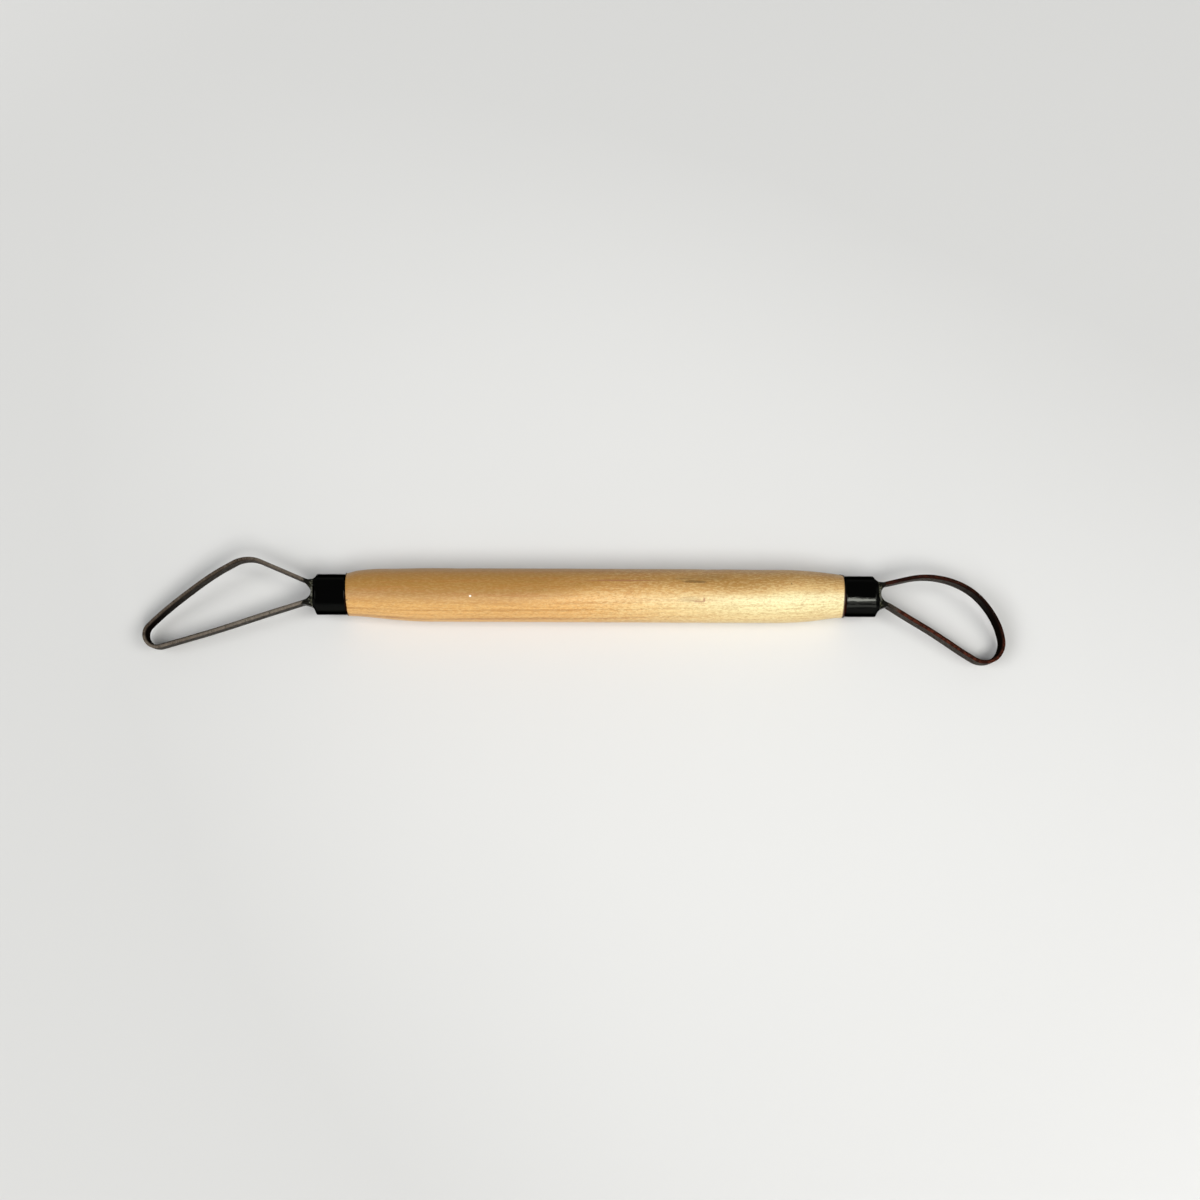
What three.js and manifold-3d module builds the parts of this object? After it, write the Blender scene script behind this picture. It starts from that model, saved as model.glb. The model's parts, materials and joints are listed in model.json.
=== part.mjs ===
// Double-ended ribbon tool for trimming clay: a turned wooden grip with a loop of flat steel ribbon at each end.
//
// Each loop is one strip. Its two ends, the tangs, lie on flats on a stub turned at the end of the grip, and run on
// into slots in the wood. A black sleeve grips tangs and stub, and narrows at its nose. Dark resin fills the nose
// between the tangs. Everything is fixed to everything else: nothing on the tool moves.
//
// Millimetres. The tool lies on a table, +Z up, with its length along X. Its round grip has rolled until a loop's
// lower edge touches the table. The origin is on the table, under the middle of the tool's overall box.

import * as THREE from 'three';
import { mergeVertices } from 'three/addons/utils/BufferGeometryUtils.js';
import Module from 'manifold-3d';

// Grip
const gripLength = 116.9;
const gripDiameter = 12.7;
const angledEndTaper = 20;
const curvedEndTaper = 16.5;
const shoulderStep = 0.24;
const shoulderRounding = 0.3;

// Steel ribbon
const ribbonWidth = 4.8;
const ribbonThickness = 0.9;
const ribbonEdge = 0.14;

// Tangs, the straight ends of a ribbon, in the wood
const tangSpacing = 4.7;
const tangShift = 0.4;
const slotDepth = 12;

// Sleeves
const sleeveLength = 8.2;
const sleeveWall = 0.5;
const noseLength = 1.2;
const noseWall = 0.3;
const noseRounding = 0.5;
const angledNoseShift = 0.4;
const curvedNoseShift = 0;

// Resin at the nose
const stubSetback = 0.2;
const resinReach = 0.4;
const resinCreep = 1.3;
const resinLip = 0.2;

// Gap between pieces that are glued or pressed together
const clearance = 0.3;

// Bends, in the order in which the ribbon is bent, from the upper tang round to the lower one.
// A loop's last leg has no size of its own: it closes the loop on the lower tang.
const neckRadius = 1.5;

const angledUpperNeck = 0.4;
const angledLegSlope = 23;
const angledLegLength = 12.05;
const kneeRadius = 7.25;
const kneeTurn = 53.3;
const cutterRadius = 105;
const cutterTurn = 13.4;
const angledTipRadius = 2.95;
const angledLowerNeck = 1.55;

const curvedUpperNeck = 0.8;
const curvedLegSlope = 12.75;
const curvedLegLength = 5.95;
const bowRadius = 18.2;
const bowTurn = 92.4;
const curvedTipRadius = 4.3;
const curvedLowerNeck = 1.4;

// Fineness of the round forms: sides of a circle, steps of a taper, and how far a bend's chords may miss its arc
const roundSides = 48;
const taperSteps = 6;
const chordError = 0.015;

// Sizes that follow from the ones above. Heights are along Y in the plane of the loops, from the grip's axis.
const upperTang = tangShift + tangSpacing / 2;
const lowerTang = tangShift - tangSpacing / 2;
const tangReach = Math.max(upperTang, -lowerTang) + ribbonThickness / 2;
const sleeveBore = Math.hypot(tangReach, ribbonWidth / 2) + clearance;
const sleeveRadius = sleeveBore + sleeveWall;
const stubRadius = sleeveBore - clearance;
const stubLength = sleeveLength - noseLength - stubSetback;
const shoulderRadius = sleeveRadius + shoulderStep;
const gripRadius = gripDiameter / 2;

const wasm = await Module();
wasm.setup();

// Turns a closed three.js geometry into a solid that can be cut and joined.
function toSolid(geometry) {
  const bare = geometry.clone();
  bare.deleteAttribute('normal');
  bare.deleteAttribute('uv');
  const merged = mergeVertices(bare, 1e-4);
  const index = merged.index.array;
  const triangles = [];
  for (let i = 0; i < index.length; i += 3) {
    const [a, b, c] = [index[i], index[i + 1], index[i + 2]];
    if (a !== b && b !== c && c !== a) triangles.push(a, b, c);
  }
  const mesh = new wasm.Mesh({
    numProp: 3,
    vertProperties: new Float32Array(merged.attributes.position.array),
    triVerts: new Uint32Array(triangles),
  });
  return new wasm.Manifold(mesh);
}

// Turns a solid back into a flat-shaded three.js geometry.
function toGeometry(solid) {
  const mesh = solid.getMesh();
  const geometry = new THREE.BufferGeometry();
  geometry.setAttribute('position', new THREE.BufferAttribute(new Float32Array(mesh.vertProperties), 3));
  geometry.setIndex(new THREE.BufferAttribute(new Uint32Array(mesh.triVerts), 1));
  return geometry;
}

// A box that reaches from one corner to the opposite one.
function boxBetween(low, high) {
  const size = high.map((value, axis) => value - low[axis]);
  const centre = high.map((value, axis) => (value + low[axis]) / 2);
  return new THREE.BoxGeometry(...size).translate(...centre);
}

// Joins cross-sections that have equally many points into one closed solid, with a flat cap at each end.
function loft(sections) {
  const count = sections[0].length;
  const rings = sections.length;
  const middle = (section) => section
    .reduce((sum, point) => sum.add(point), new THREE.Vector3())
    .divideScalar(count);
  const points = [...sections.flat(), middle(sections[0]), middle(sections[rings - 1])];
  const startCap = rings * count;
  const endCap = startCap + 1;
  const triangles = [];
  for (let k = 0; k < count; k += 1) {
    const next = (k + 1) % count;
    for (let ring = 0; ring < rings - 1; ring += 1) {
      const here = ring * count;
      const there = here + count;
      triangles.push(here + k, there + next, there + k, here + k, here + next, there + next);
    }
    const last = (rings - 1) * count;
    triangles.push(startCap, next, k, endCap, last + k, last + next);
  }
  const geometry = new THREE.BufferGeometry().setFromPoints(points);
  geometry.setIndex(triangles);
  return geometry;
}

// Cross-section at a distance x: a rectangle with round corners, which is a circle when its three sizes agree.
function roundedSection(x, halfHeight, halfDepth, cornerRadius, shift) {
  const points = [];
  const perCorner = roundSides / 4;
  for (let k = 0; k < roundSides; k += 1) {
    const corner = Math.floor(k / perCorner);
    const angle = ((k + 0.5) / roundSides) * 2 * Math.PI;
    const up = corner === 0 || corner === 3 ? 1 : -1;
    const side = corner < 2 ? 1 : -1;
    const y = up * (halfHeight - cornerRadius) + cornerRadius * Math.cos(angle) + shift;
    const z = side * (halfDepth - cornerRadius) + cornerRadius * Math.sin(angle);
    points.push(new THREE.Vector3(x, y, z));
  }
  return points;
}

function circleSection(x, radius) {
  return roundedSection(x, radius, radius, radius, 0);
}

// A strip bent in one plane, as a list of stations along its middle: a place and a heading in radians.
class BentStrip {
  constructor(x, y, heading) {
    this.stations = [{ x, y, heading }];
  }

  get end() {
    return this.stations[this.stations.length - 1];
  }

  straight(length) {
    const { x, y, heading } = this.end;
    if (length <= 0) return this;
    this.stations.push({ x: x + length * Math.cos(heading), y: y + length * Math.sin(heading), heading });
    return this;
  }

  // Turns left by a positive angle and right by a negative one, round a centre at the radius's distance.
  bend(radius, turn) {
    const { heading } = this.end;
    const centre = this.bendCentre(radius, turn);
    const widestStep = 2 * Math.acos(1 - chordError / radius);
    const steps = Math.max(2, Math.ceil(Math.abs(turn) / widestStep));
    const signed = Math.sign(turn) * radius;
    for (let k = 1; k <= steps; k += 1) {
      const now = heading + (turn * k) / steps;
      const x = centre.x + signed * Math.sin(now);
      const y = centre.y - signed * Math.cos(now);
      this.stations.push({ x, y, heading: now });
    }
    return this;
  }

  bendCentre(radius, turn) {
    const { x, y, heading } = this.end;
    const signed = Math.sign(turn) * radius;
    return { x: x - signed * Math.sin(heading), y: y + signed * Math.cos(heading) };
  }

  // Bends right round the tip, and runs straight to a last left bend that ends heading back along -X at the neck.
  close(tipRadius, lastRadius, neck) {
    const tip = this.bendCentre(tipRadius, -1);
    const last = { x: neck.x, y: neck.y - lastRadius };
    const dx = last.x - tip.x;
    const dy = last.y - tip.y;
    const distance = Math.hypot(dx, dy);
    const crossing = Math.asin((lastRadius + tipRadius) / distance);
    const legHeading = Math.atan2(dy, dx) - crossing - 2 * Math.PI;
    this.bend(tipRadius, legHeading - this.end.heading);
    this.straight(Math.sqrt(distance ** 2 - (lastRadius + tipRadius) ** 2));
    this.bend(lastRadius, -Math.PI - legHeading);
    return this;
  }

  // Outline of the strip's edge: one face on the way out, the other on the way back.
  outline(thickness) {
    const face = (side) => this.stations.map(({ x, y, heading }) => new THREE.Vector2(
      x - (side * thickness / 2) * Math.sin(heading),
      y + (side * thickness / 2) * Math.cos(heading),
    ));
    return [...face(-1), ...face(1).reverse()];
  }
}

// A loop starts with its upper tang, deep in the wood, and bends up out of the sleeve's nose.
function startLoop(upperNeck, legSlope) {
  const neckBend = THREE.MathUtils.degToRad(legSlope);
  return new BentStrip(-slotDepth, upperTang, 0)
    .straight(slotDepth + sleeveLength + upperNeck)
    .bend(neckRadius, neckBend);
}

// It closes on its lower tang, which is as long as the upper one.
function finishLoop(strip, tipRadius, lowerNeck) {
  const neck = { x: sleeveLength + lowerNeck, y: lowerTang };
  return strip
    .close(tipRadius, neckRadius, neck)
    .straight(slotDepth + neck.x);
}

// Angled loop: a knee, and a nearly straight cutting side that runs to a tight tip.
function angledStrip() {
  const strip = startLoop(angledUpperNeck, angledLegSlope)
    .straight(angledLegLength)
    .bend(kneeRadius, -THREE.MathUtils.degToRad(kneeTurn))
    .bend(cutterRadius, -THREE.MathUtils.degToRad(cutterTurn));
  return finishLoop(strip, angledTipRadius, angledLowerNeck);
}

// Curved loop: one wide bow that runs to a rounder tip.
function curvedStrip() {
  const strip = startLoop(curvedUpperNeck, curvedLegSlope)
    .straight(curvedLegLength)
    .bend(bowRadius, -THREE.MathUtils.degToRad(bowTurn));
  return finishLoop(strip, curvedTipRadius, curvedLowerNeck);
}

// The strip in its full width, with its four long edges eased.
function ribbonGeometry(strip) {
  const shape = new THREE.Shape(strip.outline(ribbonThickness));
  const geometry = new THREE.ExtrudeGeometry(shape, {
    depth: ribbonWidth - 2 * ribbonEdge,
    bevelEnabled: true,
    bevelSegments: 1,
    bevelThickness: ribbonEdge,
    bevelSize: ribbonEdge,
    bevelOffset: -ribbonEdge,
  });
  return geometry.translate(0, 0, ribbonEdge - ribbonWidth / 2);
}

// Half of the grip's outline, from its middle to the tip of a stub: a curved taper, a rounded shoulder, the stub.
function gripProfile(taperLength) {
  const points = [];
  const drop = gripRadius - shoulderRadius;
  const half = gripLength / 2;
  for (let k = 0; k <= taperSteps; k += 1) {
    const share = k / taperSteps;
    const along = half - taperLength + share * (taperLength - shoulderRounding);
    points.push(new THREE.Vector2(gripRadius - drop * share ** 2, along));
  }
  points.push(new THREE.Vector2(shoulderRadius - shoulderRounding, half));
  points.push(new THREE.Vector2(stubRadius, half));
  points.push(new THREE.Vector2(stubRadius, half + stubLength));
  points.push(new THREE.Vector2(0, half + stubLength));
  return points;
}

// What a ribbon takes out of one end of the grip: two flats on the stub, and the slots that they run into.
function tangCutters() {
  const seat = ribbonThickness / 2 + clearance;
  const beyond = stubRadius + clearance;
  const halfSlot = ribbonWidth / 2 + clearance;
  const slotEnd = -slotDepth - clearance;
  const stubEnd = stubLength + clearance;
  return [
    boxBetween([slotEnd, upperTang - seat, -halfSlot], [stubEnd, upperTang + seat, halfSlot]),
    boxBetween([slotEnd, lowerTang - seat, -halfSlot], [stubEnd, lowerTang + seat, halfSlot]),
    boxBetween([0, upperTang - seat, -beyond], [stubEnd, beyond, beyond]),
    boxBetween([0, -beyond, -beyond], [stubEnd, lowerTang + seat, beyond]),
  ];
}

function gripGeometry(endFrames) {
  const angledHalf = gripProfile(angledEndTaper).map((point) => new THREE.Vector2(point.x, -point.y));
  const profile = [...angledHalf.reverse(), ...gripProfile(curvedEndTaper)];
  const turned = new THREE.LatheGeometry(profile, roundSides).rotateZ(-Math.PI / 2);
  let solid = toSolid(turned);
  for (const frame of endFrames) {
    for (const cutter of tangCutters()) {
      solid = solid.subtract(toSolid(cutter.applyMatrix4(frame)));
    }
  }
  return toGeometry(solid);
}

// A round tube that gives way, along its nose, to a rounded rectangle close round the two tangs.
function sleeveGeometry(noseShift) {
  const noseStart = sleeveLength - noseLength;
  const offCentre = Math.abs(tangShift - noseShift);
  const openHeight = tangSpacing / 2 + offCentre + ribbonThickness / 2 + clearance;
  const openDepth = ribbonWidth / 2 + clearance;
  const noseSection = (x, wall) => roundedSection(
    x,
    openHeight + wall,
    openDepth + wall,
    noseRounding + wall,
    noseShift,
  );
  const outside = loft([
    circleSection(clearance, sleeveRadius),
    circleSection(noseStart, sleeveRadius),
    noseSection(sleeveLength, noseWall),
  ]);
  const inside = loft([
    circleSection(0, sleeveBore),
    circleSection(noseStart, sleeveBore),
    noseSection(sleeveLength, 0),
    noseSection(sleeveLength + clearance, 0),
  ]);
  return toGeometry(toSolid(outside).subtract(toSolid(inside)));
}

// The resin between the tangs, from the stub's tip to a hollow that creeps out along both legs.
function resinGeometry() {
  const seat = ribbonThickness / 2 + clearance;
  const top = upperTang - seat;
  const bottom = lowerTang + seat;
  const start = stubLength + clearance;
  const end = sleeveLength + resinCreep;
  const shape = new THREE.Shape();
  shape.moveTo(start, bottom);
  shape.lineTo(end, bottom);
  shape.lineTo(end, bottom + resinLip);
  shape.absellipse(
    end,
    (top + bottom) / 2,
    resinCreep - resinReach,
    (top - bottom) / 2 - resinLip,
    1.5 * Math.PI,
    0.5 * Math.PI,
    true,
  );
  shape.lineTo(end, top);
  shape.lineTo(start, top);
  shape.closePath();
  const geometry = new THREE.ExtrudeGeometry(shape, { depth: ribbonWidth, bevelEnabled: false, curveSegments: 8 });
  return geometry.translate(0, 0, -ribbonWidth / 2);
}

const wood = () => new THREE.MeshStandardMaterial({ color: 0xd2a56a, roughness: 0.45, metalness: 0 });
const blackSleeve = () => new THREE.MeshStandardMaterial({ color: 0x0b0b0c, roughness: 0.2, metalness: 0 });
const darkSteel = () => new THREE.MeshStandardMaterial({ color: 0x57504a, roughness: 0.4, metalness: 0.9 });
const darkResin = () => new THREE.MeshStandardMaterial({ color: 0x2b2c22, roughness: 0.25, metalness: 0 });

function piece(name, geometry, material) {
  const mesh = new THREE.Mesh(geometry, material);
  mesh.name = name;
  return mesh;
}

// One end of the tool, with its origin in the middle of the wood's shoulder and +X pointing out along the tool.
function toolEnd(prefix, strip, noseShift) {
  const end = new THREE.Group();
  end.add(piece(`${prefix}_loop`, ribbonGeometry(strip), darkSteel()));
  end.add(piece(`${prefix}_end_sleeve`, sleeveGeometry(noseShift), blackSleeve()));
  end.add(piece(`${prefix}_end_resin`, resinGeometry(), darkResin()));
  return end;
}

// How far the tool rolls about its grip before this loop's lower edge touches the table.
function rollToTable(strip) {
  const lowest = Math.min(...strip.outline(ribbonThickness).map((point) => point.y));
  const edgeDrop = -lowest - ribbonEdge;
  const halfWidth = ribbonWidth / 2;
  return Math.asin(gripRadius / Math.hypot(edgeDrop, halfWidth)) - Math.atan2(halfWidth, edgeDrop);
}

const angled = angledStrip();
const curved = curvedStrip();

const angledEnd = toolEnd('angled', angled, angledNoseShift);
angledEnd.rotation.y = Math.PI;
angledEnd.position.x = -gripLength / 2;
angledEnd.updateMatrix();

const curvedEnd = toolEnd('curved', curved, curvedNoseShift);
curvedEnd.position.x = gripLength / 2;
curvedEnd.updateMatrix();

const tool = new THREE.Group();
tool.add(piece('wooden_grip', gripGeometry([angledEnd.matrix, curvedEnd.matrix]), wood()));
tool.add(angledEnd, curvedEnd);
tool.rotation.x = Math.min(rollToTable(angled), rollToTable(curved));

// Set down on the table, with the middle of its box over the origin.
const overall = new THREE.Box3().setFromObject(tool, true);
const middle = overall.getCenter(new THREE.Vector3());
tool.position.set(-middle.x, -middle.y, -overall.min.z);

const ribbonTool = new THREE.Group();
ribbonTool.add(tool);

export default ribbonTool;
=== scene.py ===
"""Ribbon tool for trimming clay: a turned wooden grip with a bent loop of flat steel ribbon at each end.

The file is laid out as an add-on. Its settings hold the sizes and finishes, an operator makes each group of
like pieces, and a panel in the 3D view's sidebar lists them all. Lengths are metres, in the frame of the
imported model: +X along the tool, +Z up from the table. The tool's own frame has its origin in the middle of
the grip, x along the grip, y across the loops in their plane, and z square to that plane. The tool has
rolled about its grip, so its own frame is turned about X. Each end has a frame too, with x pointing
outwards from the wood's shoulder.
"""

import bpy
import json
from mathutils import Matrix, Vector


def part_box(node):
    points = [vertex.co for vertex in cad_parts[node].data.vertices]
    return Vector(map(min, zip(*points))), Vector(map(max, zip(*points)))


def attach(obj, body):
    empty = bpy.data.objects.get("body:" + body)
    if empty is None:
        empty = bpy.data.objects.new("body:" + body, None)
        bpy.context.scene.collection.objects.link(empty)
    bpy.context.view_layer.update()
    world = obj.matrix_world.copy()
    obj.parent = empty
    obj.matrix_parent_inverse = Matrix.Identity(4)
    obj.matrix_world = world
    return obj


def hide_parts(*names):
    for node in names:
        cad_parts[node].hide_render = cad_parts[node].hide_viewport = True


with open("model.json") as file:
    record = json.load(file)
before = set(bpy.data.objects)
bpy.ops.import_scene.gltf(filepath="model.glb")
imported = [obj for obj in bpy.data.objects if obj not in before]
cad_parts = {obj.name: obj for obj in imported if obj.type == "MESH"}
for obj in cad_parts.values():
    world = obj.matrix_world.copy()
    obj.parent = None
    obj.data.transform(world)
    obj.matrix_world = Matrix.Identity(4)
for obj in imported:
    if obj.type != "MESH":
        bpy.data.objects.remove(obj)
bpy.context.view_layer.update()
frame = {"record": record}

import json
import math
from functools import reduce
from typing import NamedTuple

import bpy
import numpy as np
from bpy.props import FloatProperty, FloatVectorProperty, PointerProperty
from mathutils import Matrix, Vector

bl_info = {
    "name": "Ribbon tool",
    "version": (1, 0, 0),
    "blender": (4, 5, 0),
    "location": "3D View > Sidebar > Ribbon tool",
    "description": "Makes a double-ended ribbon tool for trimming clay, piece by piece",
    "category": "Object",
}

MM = 0.001

# The two ends, each by the sign of the direction in which it points
ANGLED_END = -1
CURVED_END = 1

# What the frame says: where the grip lies, how thick it is, and how far the loops' plane has rolled
GRIP_LOW, GRIP_HIGH = (np.array(corner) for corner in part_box("wooden_grip"))
GRIP_CENTRE = (GRIP_LOW + GRIP_HIGH) / 2
GRIP_DIAMETER = float(GRIP_HIGH[2] - GRIP_LOW[2])
LENGTH_WITH_STUBS = float(GRIP_HIGH[0] - GRIP_LOW[0])
LEG_NORMAL = frame["record"]["mounts"][0]["axis"]
LOOP_ROLL = math.atan2(-LEG_NORMAL[2], -LEG_NORMAL[1])

# Hidden under a sleeve: how far a stub stands out from its shoulder, and the gap that glue fills
STUB_LENGTH = 6.8 * MM
GLUE_GAP = 0.3 * MM


# Settings

def length(name, description, default):
    """A size in metres."""
    return FloatProperty(
        name=name, description=description, default=default, min=0, unit="LENGTH", precision=5
    )


def shift(name, description, default):
    """A place or a shift in metres, which may be negative."""
    return FloatProperty(name=name, description=description, default=default, unit="LENGTH", precision=5)


def angle(name, description, degrees):
    """An angle, given here in degrees."""
    return FloatProperty(name=name, description=description, default=math.radians(degrees), subtype="ANGLE")


def ratio(name, description, default):
    """A lean or a slope, which has no unit."""
    return FloatProperty(name=name, description=description, default=default)


def level(name, description, default):
    """How bright a light is: at 1, white paper that only sees this light is white."""
    return FloatProperty(name=name, description=description, default=default, min=0)


def colour(name, description, default):
    """A linear colour."""
    return FloatVectorProperty(
        name=name, description=description, default=default, min=0, max=1, subtype="COLOR"
    )


class GripSettings(bpy.types.PropertyGroup):
    """The turned grip: its sizes, its wear and the colours of its wood."""

    length: length("Length", "Wood between the two shoulders", LENGTH_WITH_STUBS - 2 * STUB_LENGTH)
    diameter: length("Diameter", "Thickest part of the grip", GRIP_DIAMETER)
    angled_taper: length("Angled end taper", "Length of the taper at the angled loop's end", 20 * MM)
    curved_taper: length("Curved end taper", "Length of the taper at the curved loop's end", 16.5 * MM)
    shoulder_diameter: length("Shoulder", "Diameter beside a sleeve", 10.08 * MM)
    rounding: length("Rounding", "Radius of the shoulder's edge", 0.3 * MM)
    stub_diameter: length("Stub", "Diameter of the stub under a sleeve", 8 * MM)
    stub_length: length("Stub length", "How far a stub stands out from its shoulder", STUB_LENGTH)
    unevenness: length("Unevenness", "How far sanding by hand has gone below the turned form", 0.05 * MM)
    askew: ratio("Askew", "How far the angled end's shoulder leans along x, over y", 0.055)
    # Partly painted sheen: this pale colour stands in for the lacquer's highlight towards the curved end.
    pale_wood_and_sheen: colour("Pale wood", "Clear sapwood, as at the curved loop's end", (0.80, 0.735, 0.405))
    honey_wood: colour("Honey wood", "Sapwood that has yellowed under its lacquer", (0.70, 0.40, 0.128))
    # Painted shade: this darker brown colours the grip's upper side.
    shaded_brown_wood: colour("Warm wood", "Heartwood, darker and browner", (0.345, 0.178, 0.035))
    late_wood: colour("Late wood", "The dark lines of the growth rings", (0.40, 0.165, 0.034))
    fleck: colour("Flecks", "Short flecks along the grain", (0.40, 0.20, 0.062))
    grime: colour("Grime", "Brown smudges and stains", (0.19, 0.105, 0.030))
    joint: colour("Joint", "Dark line beside the curved end's sleeve", (0.05, 0.014, 0.006))
    scratch: colour("Scratches", "Reddish scratches and fine lines", (0.36, 0.16, 0.062))
    speck: colour("Speck", "A fleck of dried slip", (0.93, 0.90, 0.80))


class RibbonSettings(bpy.types.PropertyGroup):
    """The steel ribbon that both loops are bent from."""

    width: length("Width", "Width of the ribbon", 4.8 * MM)
    thickness: length("Thickness", "Thickness of the ribbon", 0.9 * MM)
    edge_rounding: length("Edge rounding", "Radius of its long edges", 0.2 * MM)
    tang_spacing: length("Tang spacing", "Distance between the middles of the two tangs", 4.7 * MM)
    tang_shift: shift("Tang shift", "How far the tangs' middle lies above the grip's axis", 0.4 * MM)
    slot_depth: length("Slot depth", "How deep a tang sits in the wood", 12 * MM)
    tang_reach: length("Tang reach", "How far a tang's straight part stands out from the wood", 8.2 * MM)
    neck_radius: length("Neck radius", "Radius of the bends beside a sleeve", 1.5 * MM)
    spacing: length("Spacing", "Distance between the sections that make up the mesh", 0.3 * MM)
    steel: colour("Steel", "Grey rolled steel", (0.103, 0.089, 0.069))
    bright: colour("Bright steel", "Scratches that are still bright", (0.30, 0.27, 0.23))
    # Also painted shade along the angled loop's edge.
    bloom: colour("Bloom", "Brown bloom on the steel", (0.043, 0.029, 0.020))
    # Near black for pits, flakes and the blackened tip, and also painted shade on the outer face and along
    # the curved loop's edge.
    soot: colour("Soot", "Blackened steel inside a tip", (0.0038, 0.0025, 0.002))
    worn_edge: colour("Worn edge", "Edge of the angled loop", (0.15, 0.127, 0.101))
    rust: colour("Rust", "Edge of the curved loop", (0.060, 0.0155, 0.0085))


class AngledLoopSettings(bpy.types.PropertyGroup):
    """Bends of the angled loop, from its upper leg round to its tip."""

    upper_neck: length("Upper neck", "Straight stretch between the sleeve and the first bend", 0.4 * MM)
    leg_slope: angle("Leg slope", "How far the upper leg leans away from the grip's axis", 23)
    leg_length: length("Leg length", "Straight part of the upper leg", 12.05 * MM)
    knee_radius: length("Knee radius", "Radius of the knee", 7.25 * MM)
    knee_turn: angle("Knee turn", "How far the knee turns", 53.3)
    cutter_radius: length("Cutting side radius", "Radius of the nearly straight cutting side", 105 * MM)
    cutter_turn: angle("Cutting side turn", "How far the cutting side turns", 13.4)
    tip_radius: length("Tip radius", "Radius of the tip", 2.95 * MM)
    lower_neck: length("Lower neck", "Straight stretch between the last bend and the sleeve", 1.55 * MM)


class CurvedLoopSettings(bpy.types.PropertyGroup):
    """Bends of the curved loop, from its upper leg round to its tip."""

    upper_neck: length("Upper neck", "Straight stretch between the sleeve and the first bend", 0.8 * MM)
    leg_slope: angle("Leg slope", "How far the upper leg leans away from the grip's axis", 12.75)
    leg_length: length("Leg length", "Straight part of the upper leg", 5.95 * MM)
    bow_radius: length("Bow radius", "Radius of the bow", 18.2 * MM)
    bow_turn: angle("Bow turn", "How far the bow turns", 92.4)
    tip_radius: length("Tip radius", "Radius of the tip", 4.3 * MM)
    lower_neck: length("Lower neck", "Straight stretch between the last bend and the sleeve", 1.4 * MM)
    lean_out: ratio("Lean outwards", "How far it leans along x, over its width", 0.035)
    lean_up: ratio("Lean upwards", "How far it leans along y, over its width", 0.03)


class SleeveSettings(bpy.types.PropertyGroup):
    """The black sleeves over the stubs."""

    radius: length("Radius", "Outer radius of the round part", 4.84 * MM)
    wall: length("Wall", "Wall of the round part", 0.5 * MM)
    nose_wall: length("Nose wall", "Wall at the nose's end", 0.3 * MM)
    nose_depth: length("Nose depth", "Half of the nose's depth at its end", 4.0 * MM)
    nose_rounding: length("Nose rounding", "Corner radius of the nose's end", 1.6 * MM)
    lip_reach: length("Lip reach", "How far the thin lip laps over the wood", 0.16 * MM)
    lip_wall: length("Lip wall", "Thickness of the lip", 0.09 * MM)
    flare: length("Flare", "Length over which the sleeve widens to its lip", 0.35 * MM)
    black: colour("Black", "Share of light that it reflects", (0.0085, 0.0088, 0.008))
    thin_black: colour("Thin black", "The same where the lip is thin", (0.035, 0.010, 0.004))
    dust: colour("Dust", "The same under fine dust", (0.02, 0.0185, 0.0165))


class AngledNoseSettings(bpy.types.PropertyGroup):
    """The narrowed nose of the angled end's sleeve, and how far the resin stands out of it."""

    start: length("Start", "From the wood's shoulder to where the sleeve starts to narrow", 7.05 * MM)
    end: length("End", "From the wood's shoulder to the nose's end", 7.7 * MM)
    half_height: length("Half height", "Half of the nose's height at its end", 3.45 * MM)
    shift: shift("Shift", "How far the nose's end lies above the axis", 0.13 * MM)
    skew: ratio("Skew", "How much shorter the upper side is, over its height", 0)
    reach: length("Reach", "How far the resin stands out between the legs", 0.78 * MM)
    creep: length("Creep", "How far the resin climbs a leg beyond that", 2.4 * MM)


class CurvedNoseSettings(bpy.types.PropertyGroup):
    """The narrowed nose of the curved end's sleeve, and how far the resin stands out of it."""

    start: length("Start", "From the wood's shoulder to where the sleeve starts to narrow", 7.1 * MM)
    end: length("End", "From the wood's shoulder to the nose's end", 7.95 * MM)
    half_height: length("Half height", "Half of the nose's height at its end", 3.43 * MM)
    shift: shift("Shift", "How far the nose's end lies above the axis", 0)
    skew: ratio("Skew", "How much shorter the upper side is, over its height", 0.05)
    reach: length("Reach", "How far the resin stands out between the legs", 0.8 * MM)
    creep: length("Creep", "How far the resin climbs a leg beyond that", 1.8 * MM)


class ResinSettings(bpy.types.PropertyGroup):
    """The resin that fills each nose and creeps out along the legs."""

    fillet: length("Fillet", "Width of the fillet beside a leg's long edges", 0.62 * MM)
    outer_slope: ratio("Outer slope", "How straight a slope outside a leg is", 0.45)
    olive: colour("Olive", "Clear resin", (0.058, 0.058, 0.033))
    # Near black in the fillets beside the legs.
    dark: colour("Dark", "Resin darkened by dust and clay", (0.006, 0.0055, 0.004))
    # Painted glints: these paler streaks stand in for reflections on the resin.
    milky: colour("Milky", "Pale streaks in the resin", (0.15, 0.15, 0.095))


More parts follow.
